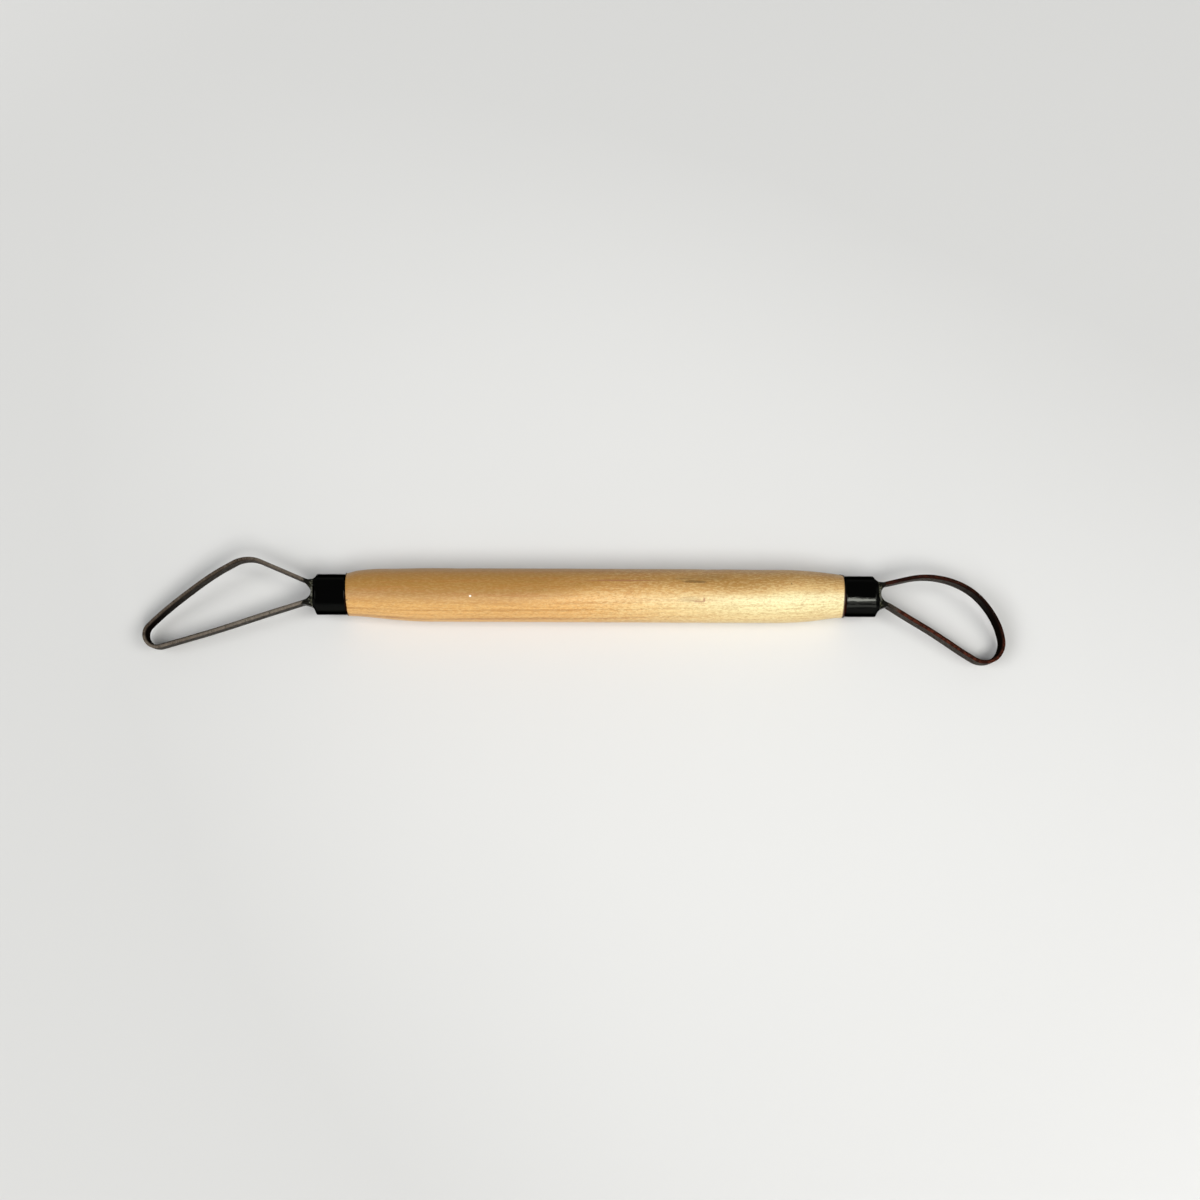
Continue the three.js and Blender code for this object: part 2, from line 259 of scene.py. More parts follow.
class StageSettings(bpy.types.PropertyGroup):
    """The floor, the camera and the light."""

    floor_size: length("Floor", "Side of the square floor", 8)
    floor_colour: colour("Floor colour", "Pale matt floor", (0.80, 0.80, 0.787))
    lens: FloatProperty(
        name="Lens", description="Focal length on a sensor 36 mm wide", default=59.22, unit="CAMERA"
    )
    distance: length("Distance", "From the camera to the point that it looks at", 0.465)
    elevation: angle("Elevation", "How steeply the camera looks down", 69.03)
    lean: angle("Lean", "How far the camera leans about its own axis", 0.24)
    aim_along: shift("Aim along", "Where it looks along the grip, from its middle", 1.1 * MM)
    aim_across: shift("Aim across", "Where it looks across the loops, from the grip's axis", -1.05 * MM)
    window: level("Window", "Large soft window at the front right", 6.4)
    bright_pane: level("Bright pane", "Upper pane of the narrow window that a sleeve mirrors", 32.0)
    middle_pane: level("Middle pane", "Its middle pane", 3.7)
    low_pane: level("Low pane", "Its low pane", 3.5)
    side_window: level("Side window", "Large soft window at the front left", 4.6)
    overhead: level("Overhead", "The room overhead", 0.2)
    horizon: level("Horizon", "The room at the horizon", 0.76)


class RibbonToolSettings(bpy.types.PropertyGroup):
    """All settings of the tool and its stage."""

    grip: PointerProperty(type=GripSettings)
    ribbon: PointerProperty(type=RibbonSettings)
    angled_loop: PointerProperty(type=AngledLoopSettings)
    curved_loop: PointerProperty(type=CurvedLoopSettings)
    sleeve: PointerProperty(type=SleeveSettings)
    angled_nose: PointerProperty(type=AngledNoseSettings)
    curved_nose: PointerProperty(type=CurvedNoseSettings)
    resin: PointerProperty(type=ResinSettings)
    stage: PointerProperty(type=StageSettings)


# Places

def tool_to_row(points):
    """Points of the tool's own frame, placed in the model's: the grip's centre + the point, rolled."""
    turn = np.array(Matrix.Rotation(LOOP_ROLL, 3, "X"))
    return np.asarray(points) @ turn.T + GRIP_CENTRE


def end_to_row(points, end, grip):
    """The same for an end's frame: x and z change sign at the angled end, and x starts at the shoulder."""
    local = np.asarray(points) * (end, 1, end)
    return tool_to_row(local + (end * grip.length / 2, 0, 0))


# Surfaces

def smooth_step(low, high, value):
    """0 below low, 1 above high, and 3t^2 - 2t^3 between them."""
    t = np.clip((value - low) / (high - low), 0, 1)
    return t * t * (3 - 2 * t)


def eased(low, high, steps):
    """Values from low to high that crowd near both: half a turn of a cosine."""
    return low + (high - low) * (1 - np.cos(np.linspace(0, math.pi, steps + 1))) / 2


def joined_runs(*runs):
    """One row of values from runs that each start where the last one ended."""
    return np.concatenate([runs[0], *(run[1:] for run in runs[1:])])


def waves(seed, count, shortest, longest, *coordinates):
    """An uneven value between -1 and 1: the mean of sines, each with its own direction, length and phase."""
    draw = np.random.default_rng(seed)
    total = 0
    for _ in range(count):
        direction = draw.normal(size=len(coordinates))
        direction /= np.linalg.norm(direction)
        number = 2 * math.pi / draw.uniform(shortest, longest)
        phase = draw.uniform(0, 2 * math.pi)
        distance = sum(part * along for part, along in zip(direction, coordinates))
        total = total + np.sin(number * distance + phase)
    return total / count


def grid_faces(rows, columns, wrap_rows=False, wrap_columns=True):
    """Corner numbers of the quads of a grid of points stored row by row, round its ends where it wraps."""
    row = np.arange(rows if wrap_rows else rows - 1)[:, None]
    column = np.arange(columns if wrap_columns else columns - 1)[None, :]
    next_row = (row + 1) % rows
    next_column = (column + 1) % columns
    corners = [row * columns + column, next_row * columns + column]
    corners += [next_row * columns + next_column, row * columns + next_column]
    return np.stack([corner.ravel() for corner in np.broadcast_arrays(*corners)], axis=1)


def pole_faces(columns, ring, pole):
    """Triangles from a ring of a grid to its pole, turned as the quads are at the grid's last ring."""
    column = np.arange(columns)
    start = ring * columns
    return np.stack([start + column, np.full(columns, pole), start + (column + 1) % columns], axis=1)


def close_tube(grid):
    """Points and faces of a tube of rings that is closed by a pole in the middle of each end ring."""
    rings, columns, _ = grid.shape
    poles = [grid[0].mean(axis=0), grid[-1].mean(axis=0)]
    points = np.concatenate([grid.reshape(-1, 3), poles])
    first_pole = rings * columns
    first_cap = pole_faces(columns, 0, first_pole)[:, ::-1]
    last_cap = pole_faces(columns, rings - 1, first_pole + 1)
    return points, [grid_faces(rings, columns), first_cap, last_cap]


def enclosed_volume(points, faces):
    """Signed volume inside a mesh's faces: a sixth of the sum of a . (b x c) over their triangles."""
    total = 0
    for k in range(1, faces.shape[1] - 1):
        a, b, c = (points[faces[:, corner]] for corner in (0, k, k + 1))
        total += np.einsum("ij,ij->", a, np.cross(b, c)) / 6
    return total


def make_piece(name, points, face_groups, material, node, attributes=None):
    """Puts a closed surface into a new object, with its faces pointing out, which stands for a node of the
    frame."""
    centred = points - points.mean(axis=0)
    if sum(enclosed_volume(centred, faces) for faces in face_groups) < 0:
        face_groups = [faces[:, ::-1] for faces in face_groups]
    mesh = bpy.data.meshes.new(name)
    mesh.from_pydata(points, [], [face for faces in face_groups for face in faces.tolist()])
    mesh.polygons.foreach_set("use_smooth", np.ones(len(mesh.polygons), bool))
    for key, values in (attributes or {}).items():
        attribute = mesh.attributes.new(key, "FLOAT", "POINT")
        attribute.data.foreach_set("value", np.asarray(values, np.float32).ravel())
    mesh.materials.append(material)
    mesh.update()
    piece = bpy.data.objects.new(name, mesh)
    bpy.context.scene.collection.objects.link(piece)
    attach(piece, "root")
    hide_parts(node)
    return piece


def round_corners(height, depth, half_height, half_depth, rounding):
    """Draws in the corners of a filled rectangle: in each corner's square, offsets (a, b) from the arc's
    centre shrink by max(a, b) / |(a, b)|, so that square rings become arcs."""
    a = np.maximum(np.abs(height) - (half_height - rounding), 0)
    b = np.maximum(np.abs(depth) - (half_depth - rounding), 0)
    ray = np.hypot(a, b)
    shrink = np.where(ray > 0, np.maximum(a, b) / np.where(ray > 0, ray, 1), 1)
    return (
        np.sign(height) * (np.abs(height) - a + a * shrink),
        np.sign(depth) * (np.abs(depth) - b + b * shrink),
    )


def rounded_rectangle(turn, half_height, half_depth, rounding):
    """Outline of a rectangle with round corners: where the ray at each angle meets the square-cornered
    outline, drawn in at the corners."""
    up, out = np.cos(turn), np.sin(turn)
    reach = 1 / np.maximum(np.abs(up) / half_height, np.abs(out) / half_depth)
    return round_corners(up * reach, out * reach, half_height, half_depth, rounding)


# Finishes

class Finish:
    """A material in the making. Each method adds nodes and returns the socket that carries their result."""

    MIX_FACTOR, MIX_A, MIX_B, MIX_RESULT = 0, 6, 7, 2

    def __init__(self, name):
        self.material = bpy.data.materials.new(name)
        self.material.use_nodes = True
        self.tree = self.material.node_tree
        self.shader = self.tree.nodes["Principled BSDF"]

    def feed(self, socket, value):
        """Links a socket to another one, or sets it to a plain value."""
        if isinstance(value, bpy.types.NodeSocket):
            self.tree.links.new(value, socket)
        else:
            socket.default_value = value

    def add(self, kind, inputs, output=0, **settings):
        """Adds a node, with its inputs given by name or number."""
        node = self.tree.nodes.new(kind)
        for key, value in settings.items():
            setattr(node, key, value)
        for key, value in inputs.items():
            self.feed(node.inputs[key], value)
        return node.outputs[output]

    def set(self, **inputs):
        """Sets the shader's own inputs, whose names have underscores for spaces here."""
        for key, value in inputs.items():
            self.feed(self.shader.inputs[key.replace("_", " ")], value)

    def tool_millimetres(self):
        """Millimetres in the tool's own frame, from the grip's middle and with the roll taken back."""
        place = self.add("ShaderNodeTexCoord", {}, output="Object")
        turned = {"Location": GRIP_CENTRE, "Rotation": (LOOP_ROLL, 0, 0), "Scale": (MM, MM, MM)}
        return self.add("ShaderNodeMapping", {"Vector": place, **turned}, vector_type="TEXTURE")

    def vector(self, operation, a, b):
        return self.add("ShaderNodeVectorMath", {0: a, 1: b}, operation=operation)

    def length_of(self, vector):
        return self.add("ShaderNodeVectorMath", {0: vector}, output="Value", operation="LENGTH")

    def joined(self, x, y, z):
        return self.add("ShaderNodeCombineXYZ", {0: x, 1: y, 2: z})

    def parts(self, vector):
        """The x, y and z of a vector."""
        node = self.tree.nodes.new("ShaderNodeSeparateXYZ")
        self.feed(node.inputs[0], vector)
        return node.outputs[0], node.outputs[1], node.outputs[2]

    def attribute(self, name):
        return self.add("ShaderNodeAttribute", {}, output="Fac", attribute_name=name)

    def number(self, operation, *values):
        return self.add("ShaderNodeMath", dict(enumerate(values)), operation=operation)

    def total(self, *values):
        """The sum of two or more values."""
        return reduce(lambda a, b: self.number("ADD", a, b), values)

    def product(self, *values):
        """The product of two or more values."""
        return reduce(lambda a, b: self.number("MULTIPLY", a, b), values)

    def noise(self, vector, detail=2.0, roughness=0.5, distortion=0.0):
        """Noise about 1 across at unit scale, from 0 to 1."""
        fineness = {"Scale": 1.0, "Detail": detail, "Roughness": roughness, "Distortion": distortion}
        return self.add("ShaderNodeTexNoise", {"Vector": vector, **fineness})

    def stretched_noise(self, vector, scale, detail=2.0, roughness=0.5, distortion=0.0):
        """Noise whose x, y and z each have their own number of waves in a unit."""
        return self.noise(self.vector("MULTIPLY", vector, scale), detail, roughness, distortion)

    def swing(self, noise, reach):
        """Noise from 0 to 1, as a shift from -reach to reach."""
        return self.product(self.number("SUBTRACT", noise, 0.5), 2 * reach)

    def span(self, value, low, high, to_low=0.0, to_high=1.0, bend="SMOOTHSTEP"):
        """Takes low to to_low and high to to_high, and holds both ends."""
        inputs = {"Value": value, "From Min": low, "From Max": high, "To Min": to_low, "To Max": to_high}
        return self.add("ShaderNodeMapRange", inputs, interpolation_type=bend)

    def mix(self, factor, a, b):
        """Colour a where the factor is 0 and colour b where it is 1."""
        a, b = (value if isinstance(value, bpy.types.NodeSocket) else (*value, 1) for value in (a, b))
        inputs = {self.MIX_FACTOR: factor, self.MIX_A: a, self.MIX_B: b}
        return self.add("ShaderNodeMix", inputs, output=self.MIX_RESULT, data_type="RGBA")

    def ramp(self, factor, stops):
        """A value that runs straight from stop to stop, each a place and a value from 0 to 1."""
        node = self.tree.nodes.new("ShaderNodeValToRGB")
        elements = node.color_ramp.elements
        while len(elements) < len(stops):
            elements.new(1)
        for element, (place, value) in zip(elements, stops):
            element.position = place
            element.color = grey(value)
        self.feed(node.inputs[0], factor)
        return node.outputs[0]

    def scattered(self, vector, scale, reach):
        """The vector moved about by noise, so that what is drawn with it has ragged edges."""
        inputs = {"Vector": vector, "Scale": scale, "Detail": 2.0}
        noise = self.add("ShaderNodeTexNoise", inputs, output="Color")
        middle = self.vector("SUBTRACT", noise, (0.5, 0.5, 0.5))
        return self.vector("ADD", vector, self.vector("MULTIPLY", middle, (2 * reach, 2 * reach, 2 * reach)))

    def spot(self, vector, centre, size):
        """1 inside a soft ellipsoid of that half size, and 0 outside."""
        scaled = self.vector("DIVIDE", self.vector("SUBTRACT", vector, centre), size)
        return self.span(self.length_of(scaled), 0.4, 1.0, 1.0, 0.0)

    def relief(self, height, distance):
        """A normal bent by a height from 0 to 1 that stands for that distance."""
        return self.add("ShaderNodeBump", {"Height": height, "Distance": distance, "Strength": 1.0})


def grey(value):
    """An opaque grey."""
    return (value, value, value, 1)


# Painted shade on the grip's upper side: where the darker brown above meets the paler wood below, in
# millimetres along the grip from its middle and across it. The line is drawn as a ramp over these reaches to
# both sides.
SHADE_BOUNDARY = (
    (-60, -1.6), (-42, -1.8), (-29, -1.7), (-20, -1.9), (-12, -0.9), (-4, -0.2), (4, 1.2), (13, 1.1),
    (22, 0.5), (31, 0.3), (39, 0.7), (47, 2.6), (60, 2.9),
)
BOUNDARY_REACH, BOUNDARY_HEIGHT = 60, 4

# Late wood across the grip: millimetres from its middle, how dark the line is, and how wide. The lines are a
# ramp over this reach to both sides.
RING_REACH = 8.0
LATE_WOOD_LINES = (
    (-6.1, 0.95, 0.2),
    (-5.2, 0.3, 0.2),
    (-4.35, 0.75, 0.22),
    (-2.6, 0.2, 0.3),
    (-0.9, 0.2, 0.35),
    (1.1, 0.2, 0.35),
    (2.7, 0.25, 0.2),
    (4.6, 0.25, 0.3),
)

# Marks of use on the grip, in millimetres in the tool's own frame: centre, half size and how dark
GRIME_MARKS = (
    ((22.9, 2.75, 5.7), (3.6, 0.42, 1.2), 0.8),
    ((24.9, 2.62, 5.8), (1.4, 0.42, 1.2), 0.6),
    ((20.5, 3.4, 5.3), (3.6, 0.3, 1.0), 0.4),
    ((22.0, -1.5, 6.1), (3.4, 0.9, 1.4), 0.25),
    ((25.5, 3.7, 5.0), (8.0, 1.5, 2.0), 0.3),
    ((45.7, 2.3, 5.6), (0.3, 0.26, 0.6), 0.9),
    ((-58.0, -1.8, 4.8), (0.45, 0.3, 0.9), 0.85),
)

# Reddish scratches and fine lines on the grip, in the same way
SCRATCHES = (
    ((24.1, -1.95, 6.0), (1.7, 0.24, 1.0), 0.7),
    ((25.3, -1.6, 6.1), (0.36, 0.75, 1.0), 0.85),
    ((6.6, 2.95, 5.4), (12.5, 0.27, 1.0), 0.95),
)

# A pale fleck of dried slip on the grip: centre and half size
SLIP_FLECK = ((-29.1, -0.9, 6.2), (0.36, 0.32, 0.6))

# Small dents in the grip and, below, the broad hollows and swells that turning by eye has left near its ends:
# millimetres from its middle, angle from y towards z, half size along and around, and depth
DENTS = (
    (26.4, 0.30, (1.4, 0.3), 0.12),
    (29.0, 0.20, (0.8, 0.25), 0.06),
    (-31.5, 0.2, (1.6, 0.35), 0.04),
    (8.0, 2.1, (2.2, 0.3), 0.06),
    (41.0, 1.2, (0.9, 0.2), 0.04),
    (-12.0, 2.9, (1.4, 0.3), 0.05),
    (-53.5, 0.0, (5.5, 0.9), -0.40),
    (-52.5, math.pi, (6.5, 0.9), 0.25),
    (38.5, 0.37, (7.0, 0.5), 0.13),
    (56.5, math.pi, (5.0, 0.9), 0.22),
)


def line_stops(points, reach, height):
    """Ramp stops for a line through points (x, y): x from -reach to reach becomes 0 to 1, and so does y
    from -height to height."""
    return [((x + reach) / (2 * reach), (y + height) / (2 * height)) for x, y in points]


def late_wood_stops():
    """Ramp stops for the lines of late wood, with places from -RING_REACH to RING_REACH as 0 to 1."""
    stops = [(0.0, 0.0)]
    for place, dark, width in LATE_WOOD_LINES:
        edges = ((place - width, 0.0), (place, dark), (place + 2 * width, 0.0))
        stops += [((edge + RING_REACH) / (2 * RING_REACH), value) for edge, value in edges]
    return stops


class Grain(NamedTuple):
    """Short marks along the grain: noise of that scale, detail and roughness, which shows from low to high
    by up to an amount. Along the grip that is multiplied by a span from x to x in millimetres, and from
    factor to factor."""

    scale: tuple
    detail: float
    roughness: float
    low: float
    high: float
    amount: float
    along: tuple

    def share(self, finish, at):
        """How much of the marks shows at a place."""
        noise = finish.stretched_noise(at.point, self.scale, self.detail, self.roughness)
        shown = finish.span(noise, self.low, self.high, 0.0, self.amount)
        return finish.product(shown, finish.span(at.x, *self.along))


STREAKS = Grain((0.05, 1.5, 1.5), 3, 0.6, 0.45, 0.75, 0.55, (5, 40, 1.0, 0.6))
FLECKS = Grain((0.9, 3.2, 3.2), 2, 0.6, 0.52, 0.68, 0.5, (0, 35, 1.0, 0.75))
PORES = Grain((2.0, 2.6, 2.6), 3, 0.7, 0.5, 0.62, 0.34, (-30, 5, 0.6, 1.0))


class WoodPlace(NamedTuple):
    """Sockets that say where a point of the grip lies, in millimetres in the tool's own frame: the point,
    its x and y, the y of the full grip's surface at the same angle round it, and how far growth has drifted
    there."""

    point: bpy.types.NodeSocket
    x: bpy.types.NodeSocket
    y: bpy.types.NodeSocket
    full_y: bpy.types.NodeSocket
    drift: bpy.types.NodeSocket


def place_in_wood(finish, grip):
    """Where a point of the grip lies. The y of the full surface is y / the distance from the axis * the
    radius."""
    point = finish.tool_millimetres()
    x, y, _ = finish.parts(point)
    from_axis = finish.length_of(finish.vector("MULTIPLY", point, (0, 1, 1)))
    full_y = finish.product(finish.number("DIVIDE", y, from_axis), grip.diameter / 2 / MM)
    drift = finish.swing(finish.stretched_noise(point, (0.03, 0.05, 0.05), detail=1.0), 0.8)
    return WoodPlace(point, x, y, full_y, drift)


def late_wood_share(finish, at):
    """How much late wood shows. Growth rings are sheets across y, bent by slow noise. Towards the curved
    end they rise by 0.006 (x + 40) + 0.00023 (x + 25)^2, the square from x = -25 on, and grow fainter."""
    slant = finish.product(finish.total(at.x, 40.0), -0.006)
    beyond = finish.number("MAXIMUM", finish.total(at.x, 25.0), 0.0)
    bow = finish.product(finish.number("POWER", beyond, 2.0), -0.00023)
    wobble = finish.swing(finish.stretched_noise(at.point, (0.15, 0.5, 0.5)), 0.16)
    ring = finish.total(at.full_y, slant, bow, finish.product(at.drift, 0.4), wobble)
    line = finish.ramp(finish.span(ring, -RING_REACH, RING_REACH, bend="LINEAR"), late_wood_stops())
    broken = finish.span(finish.stretched_noise(at.point, (0.12, 0.9, 0.9), detail=3), 0.3, 0.6, 0.6, 1.0)
    return finish.product(line, broken, finish.span(at.x, -10, 30, 1.1, 0.34))


def shaded_side_share(finish, at):
    """How much painted shade darkens a point: how far it lies above the line on the grip's upper side where
    the darker brown begins.
    """
    stops = line_stops(SHADE_BOUNDARY, BOUNDARY_REACH, BOUNDARY_HEIGHT)
    line = finish.ramp(finish.span(at.x, -BOUNDARY_REACH, BOUNDARY_REACH, bend="LINEAR"), stops)
    above = finish.number("SUBTRACT", at.y, finish.swing(line, BOUNDARY_HEIGHT))
    return finish.span(finish.total(above, at.drift), -2.2, 2.4, 0.0, 0.9)


def pale_and_sheen_share(finish, at, half):
    """How much of the pale colour shows: more towards the curved end, where it is partly painted sheen, and
    less high and low on the grip, where that is painted shade.
    """
    along = finish.span(finish.total(at.x, finish.product(at.drift, 8)), -8, half - 12)
    top = finish.total(at.y, finish.span(at.x, 36, 47, 0.8, 0.0))
    above = finish.span(top, -1.2, 1.6, 1.0, 0.25)
    below = finish.span(at.full_y, -6.2, -3.0, 0.5, 1.0)
    return finish.product(along, above, below)


def darker_and_shade_share(finish, at):
    """How much more darker brown is added: more towards the angled end, and less low on the grip, where the
    paler colour is painted light on the side that the light falls on.
    """
    along = finish.span(at.x, -32, 6, 0.36, 0.0)
    lower = finish.span(at.y, -1.5, 1.0, 0.6, 1.0)
    lowest = finish.span(at.y, -5.5, -2.5, 0.3, 1.0)
    return finish.product(along, lower, lowest)


def with_marks_of_use(finish, at, wood, half, grip):
    """The wood with its stains and scratches, the fleck of slip, and the dark line beside the curved end's
    sleeve."""
    ragged = finish.scattered(at.point, 2.0, 0.25)
    for marks, mark_colour in ((GRIME_MARKS, grip.grime), (SCRATCHES, grip.scratch)):
        for centre, size, amount in marks:
            mark = finish.product(finish.spot(ragged, centre, size), amount)
            wood = finish.mix(mark, wood, mark_colour)
    wood = finish.mix(finish.spot(at.point, *SLIP_FLECK), wood, grip.speck)
    joint_width = finish.span(at.y, -5.0, 4.0, 0.6, 0.3)
    to_joint = finish.number("DIVIDE", finish.number("SUBTRACT", half, at.x), joint_width)
    return finish.mix(finish.span(to_joint, 0.6, 1.2, 1.0, 0.0), wood, grip.joint)


def wood_finish(grip):
    """Pale hardwood under satin lacquer. Its upper side is darker brown, painted shade above a line that runs
    along the grip and rises towards the curved end, and towards that end the wood is paler, partly painted
    sheen. Late wood draws fine lines along the grip, flecks are noise drawn out along x, and figure shows as
    paler patches, a painted highlight, most in the paler wood."""
    finish = Finish("lacquered_hardwood")
    at = place_in_wood(finish, grip)
    half = grip.length / 2 / MM
    fibre = finish.stretched_noise(at.point, (0.5, 13, 13), detail=3, roughness=0.65)
    figure = finish.stretched_noise(at.point, (0.9, 3.4, 3.4), detail=3, roughness=0.65)
    cloud = finish.stretched_noise(at.point, (0.06, 0.22, 0.22), detail=3, distortion=0.3)
    shaded_side = shaded_side_share(finish, at)
    flecks = FLECKS.share(finish, at)

    sapwood = finish.mix(pale_and_sheen_share(finish, at, half), grip.honey_wood, grip.pale_wood_and_sheen)
    # Painted shade: the darker brown shows above the line on the upper side, more towards the angled end and
    # less low on the grip, with slow random tone from the cloud.
    shade_and_tone = finish.total(shaded_side, darker_and_shade_share(finish, at), finish.swing(cloud, 0.3))
    wood = finish.mix(shade_and_tone, sapwood, grip.shaded_brown_wood)
    wood = finish.mix(late_wood_share(finish, at), wood, grip.late_wood)
    wood = finish.mix(STREAKS.share(finish, at), wood, grip.late_wood)
    wood = finish.mix(flecks, wood, grip.fleck)
    wood = finish.mix(PORES.share(finish, at), wood, grip.late_wood)
    wood = finish.mix(finish.span(fibre, 0.35, 0.75, 0.0, 0.22), wood, grip.fleck)
    # Painted highlight: paler patches where the figure noise is high, stronger towards the curved end and
    # weaker in the darker brown.
    clear = finish.number("SUBTRACT", 1.0, finish.product(shaded_side, 0.6))
    curly = finish.span(figure, 0.46, 0.62, 0.0, 0.6)
    shine = finish.product(curly, clear, finish.span(at.x, -15, 15, 0.42, 1.1))
    wood = finish.mix(shine, wood, finish.mix(0.5, sapwood, grip.pale_wood_and_sheen))
    wood = with_marks_of_use(finish, at, wood, half, grip)

    height = finish.total(fibre, finish.product(flecks, -1.0), figure)
    finish.set(
        Base_Color=wood,
        Roughness=finish.span(fibre, 0.3, 0.7, 0.40, 0.52),
        Specular_IOR_Level=0.35,
        Coat_Weight=0.15,
        Coat_Roughness=0.32,
        Normal=finish.relief(height, 0.018 * MM),
    )
    return finish.material


class WearAndShade(NamedTuple):
    """How a strip has worn, with painted shade along its edges. Its edges: their colour, how much of them it
    covers, how dark their flakes are, how matt and how hatched with bright scratches they are, and the colour
    and shares of their painted shade. The loop's inner face: from where to where the blackening thins out
    beside the tip, and how sooty it is beyond. Last, how far from the lower neck the edge is clean. Lengths
    are in millimetres."""

    edge_colour: tuple
    edge_share: float
    flaked: float
    matt: float
    hatched: float
    shade_colour: tuple
    shade_stops: tuple
    soot_start: float
    soot_reach: float
    least_soot: float
    clean_leg: float


# Painted shade and reflection along each strip's edge: millimetres along it, and share of the darker colour.
# The edge is darker where it catches less of the windows' light, and keeps its lighter colour where it
# catches more, as on the angled loop's lower leg.
ANGLED_EDGE_SHADE = (
    (0, 0.4), (33, 0.4), (37, 0.85), (46, 0.83), (53, 0.74), (61, 0.7), (66, 0.88), (69, 0.35), (75, 0.3),
    (87, 0.15), (92, 0.0), (130, 0.0),
)
CURVED_EDGE_SHADE = (
    (0, 0.2), (22, 0.35), (25, 0.78), (29, 0.72), (32, 0.5), (36, 0.42), (41, 0.68), (46, 0.87), (52, 0.93),
    (56, 0.65), (60, 0.1), (66, 0.12), (112, 0.0), (130, 0.0),
)


def worn_share(finish, along, edge, mottle, path, wear):
    """How much of the worn edge's colour shows: near the edge, with an uneven border, and not on the clean
    leg."""
    ragged = finish.total(edge, finish.swing(mottle, 0.35))
    if wear.clean_leg:
        to_neck = finish.number("SUBTRACT", path.lower_neck / MM, along)
        ragged = finish.product(ragged, finish.span(to_neck, 1.0, 1.0 + wear.clean_leg, 0.25, 1.0))
    return finish.span(ragged, 0.35, 0.8, 0.0, wear.edge_share)


def edge_finish(finish, place, along, hatch, ribbon, wear):
    """Colour of the worn edge: its own, with dark flakes, painted shade along stretches of it and bright
    scratches across it.
    """
    flakes = finish.stretched_noise(place, (1.1, 1.6, 3.0), detail=3, roughness=0.7)
    lighter = tuple((1 + wear.flaked / 2) * part for part in wear.edge_colour)
    colour_of_edge = finish.mix(finish.span(flakes, 0.43, 0.56, 0.0, wear.flaked), lighter, ribbon.soot)
    strip_length = wear.shade_stops[-1][0]
    stops = [(stop / strip_length, dark) for stop, dark in wear.shade_stops]
    edge_shade = finish.ramp(finish.number("DIVIDE", along, strip_length), stops)
    colour_of_edge = finish.mix(edge_shade, colour_of_edge, wear.shade_colour)
    return finish.mix(finish.span(hatch, 0.36, 0.5, wear.hatched, 0.0), colour_of_edge, ribbon.bright)


def soot_share(finish, along, inner, path, wear):
    """How sooty the inner face is: fully beside the tip's middle, and less further from it."""
    from_tip = finish.number("ABSOLUTE", finish.number("SUBTRACT", along, path.tip / MM))
    beside_tip = finish.span(from_tip, wear.soot_start, wear.soot_reach, 1.0, wear.least_soot)
    return finish.product(beside_tip, inner)


def steel_finish(name, ribbon, path, wear):
    """Rolled steel with a brown bloom. The strip's own attributes say where a point lies: along it and
    across it in millimetres, how near an edge, and whether on the loop's inner face, where the tip has
    blackened."""
    finish = Finish(name)
    along, across, edge, inner = (finish.attribute(key) for key in ("along", "across", "edge", "inner"))
    place = finish.joined(along, across, inner)
    mottle = finish.stretched_noise(place, (0.9, 1.2, 3.0), detail=4, roughness=0.65)
    rolled = finish.stretched_noise(place, (0.25, 9.0, 3.0), detail=3, roughness=0.6)
    specks = finish.stretched_noise(place, (2.6, 3.2, 3.0), detail=3)
    slant = finish.product(finish.total(along, finish.product(across, 1.2)), 2.2)
    hatch = finish.noise(finish.joined(slant, across, inner))

    steel = finish.mix(finish.span(mottle, 0.38, 0.66), ribbon.steel, ribbon.bloom)
    steel = finish.mix(finish.span(rolled, 0.5, 0.75, 0.0, 0.4), steel, ribbon.bloom)
    steel = finish.mix(finish.span(hatch, 0.5, 0.64, 0.0, 0.45), steel, ribbon.bloom)
    steel = finish.mix(finish.span(hatch, 0.34, 0.46, 0.22, 0.0), steel, ribbon.bright)
    # Painted shade: the outer face, and partly the edges, are darkened halfway towards near black; the inner
    # face keeps the steel's colour.
    steel = finish.mix(finish.span(inner, 0.0, 1.0, 0.5, 0.0), steel, ribbon.soot)
    worn = worn_share(finish, along, edge, mottle, path, wear)
    steel = finish.mix(worn, steel, edge_finish(finish, place, along, hatch, ribbon, wear))
    pits = finish.span(specks, 0.58, 0.70, 0.0, 0.75)
    steel = finish.mix(pits, steel, ribbon.soot)
    sooty = soot_share(finish, along, inner, path, wear)
    steel = finish.mix(finish.product(sooty, 0.985), steel, ribbon.soot)

    glossy = finish.number("SUBTRACT", 1.0, finish.product(worn, wear.matt))
    clean = finish.product(finish.number("SUBTRACT", 1.0, sooty), glossy)
    height = finish.total(rolled, finish.product(pits, -1.5), finish.product(mottle, 0.7))
    finish.set(
        Base_Color=steel,
        Metallic=finish.product(clean, 0.25),
        Specular_Tint=grey(0.2),
        Specular_IOR_Level=finish.product(clean, 0.04),
        Roughness=finish.span(mottle, 0.3, 0.7, 0.42, 0.66),
        Normal=finish.relief(height, 0.012 * MM),
    )
    return finish.material


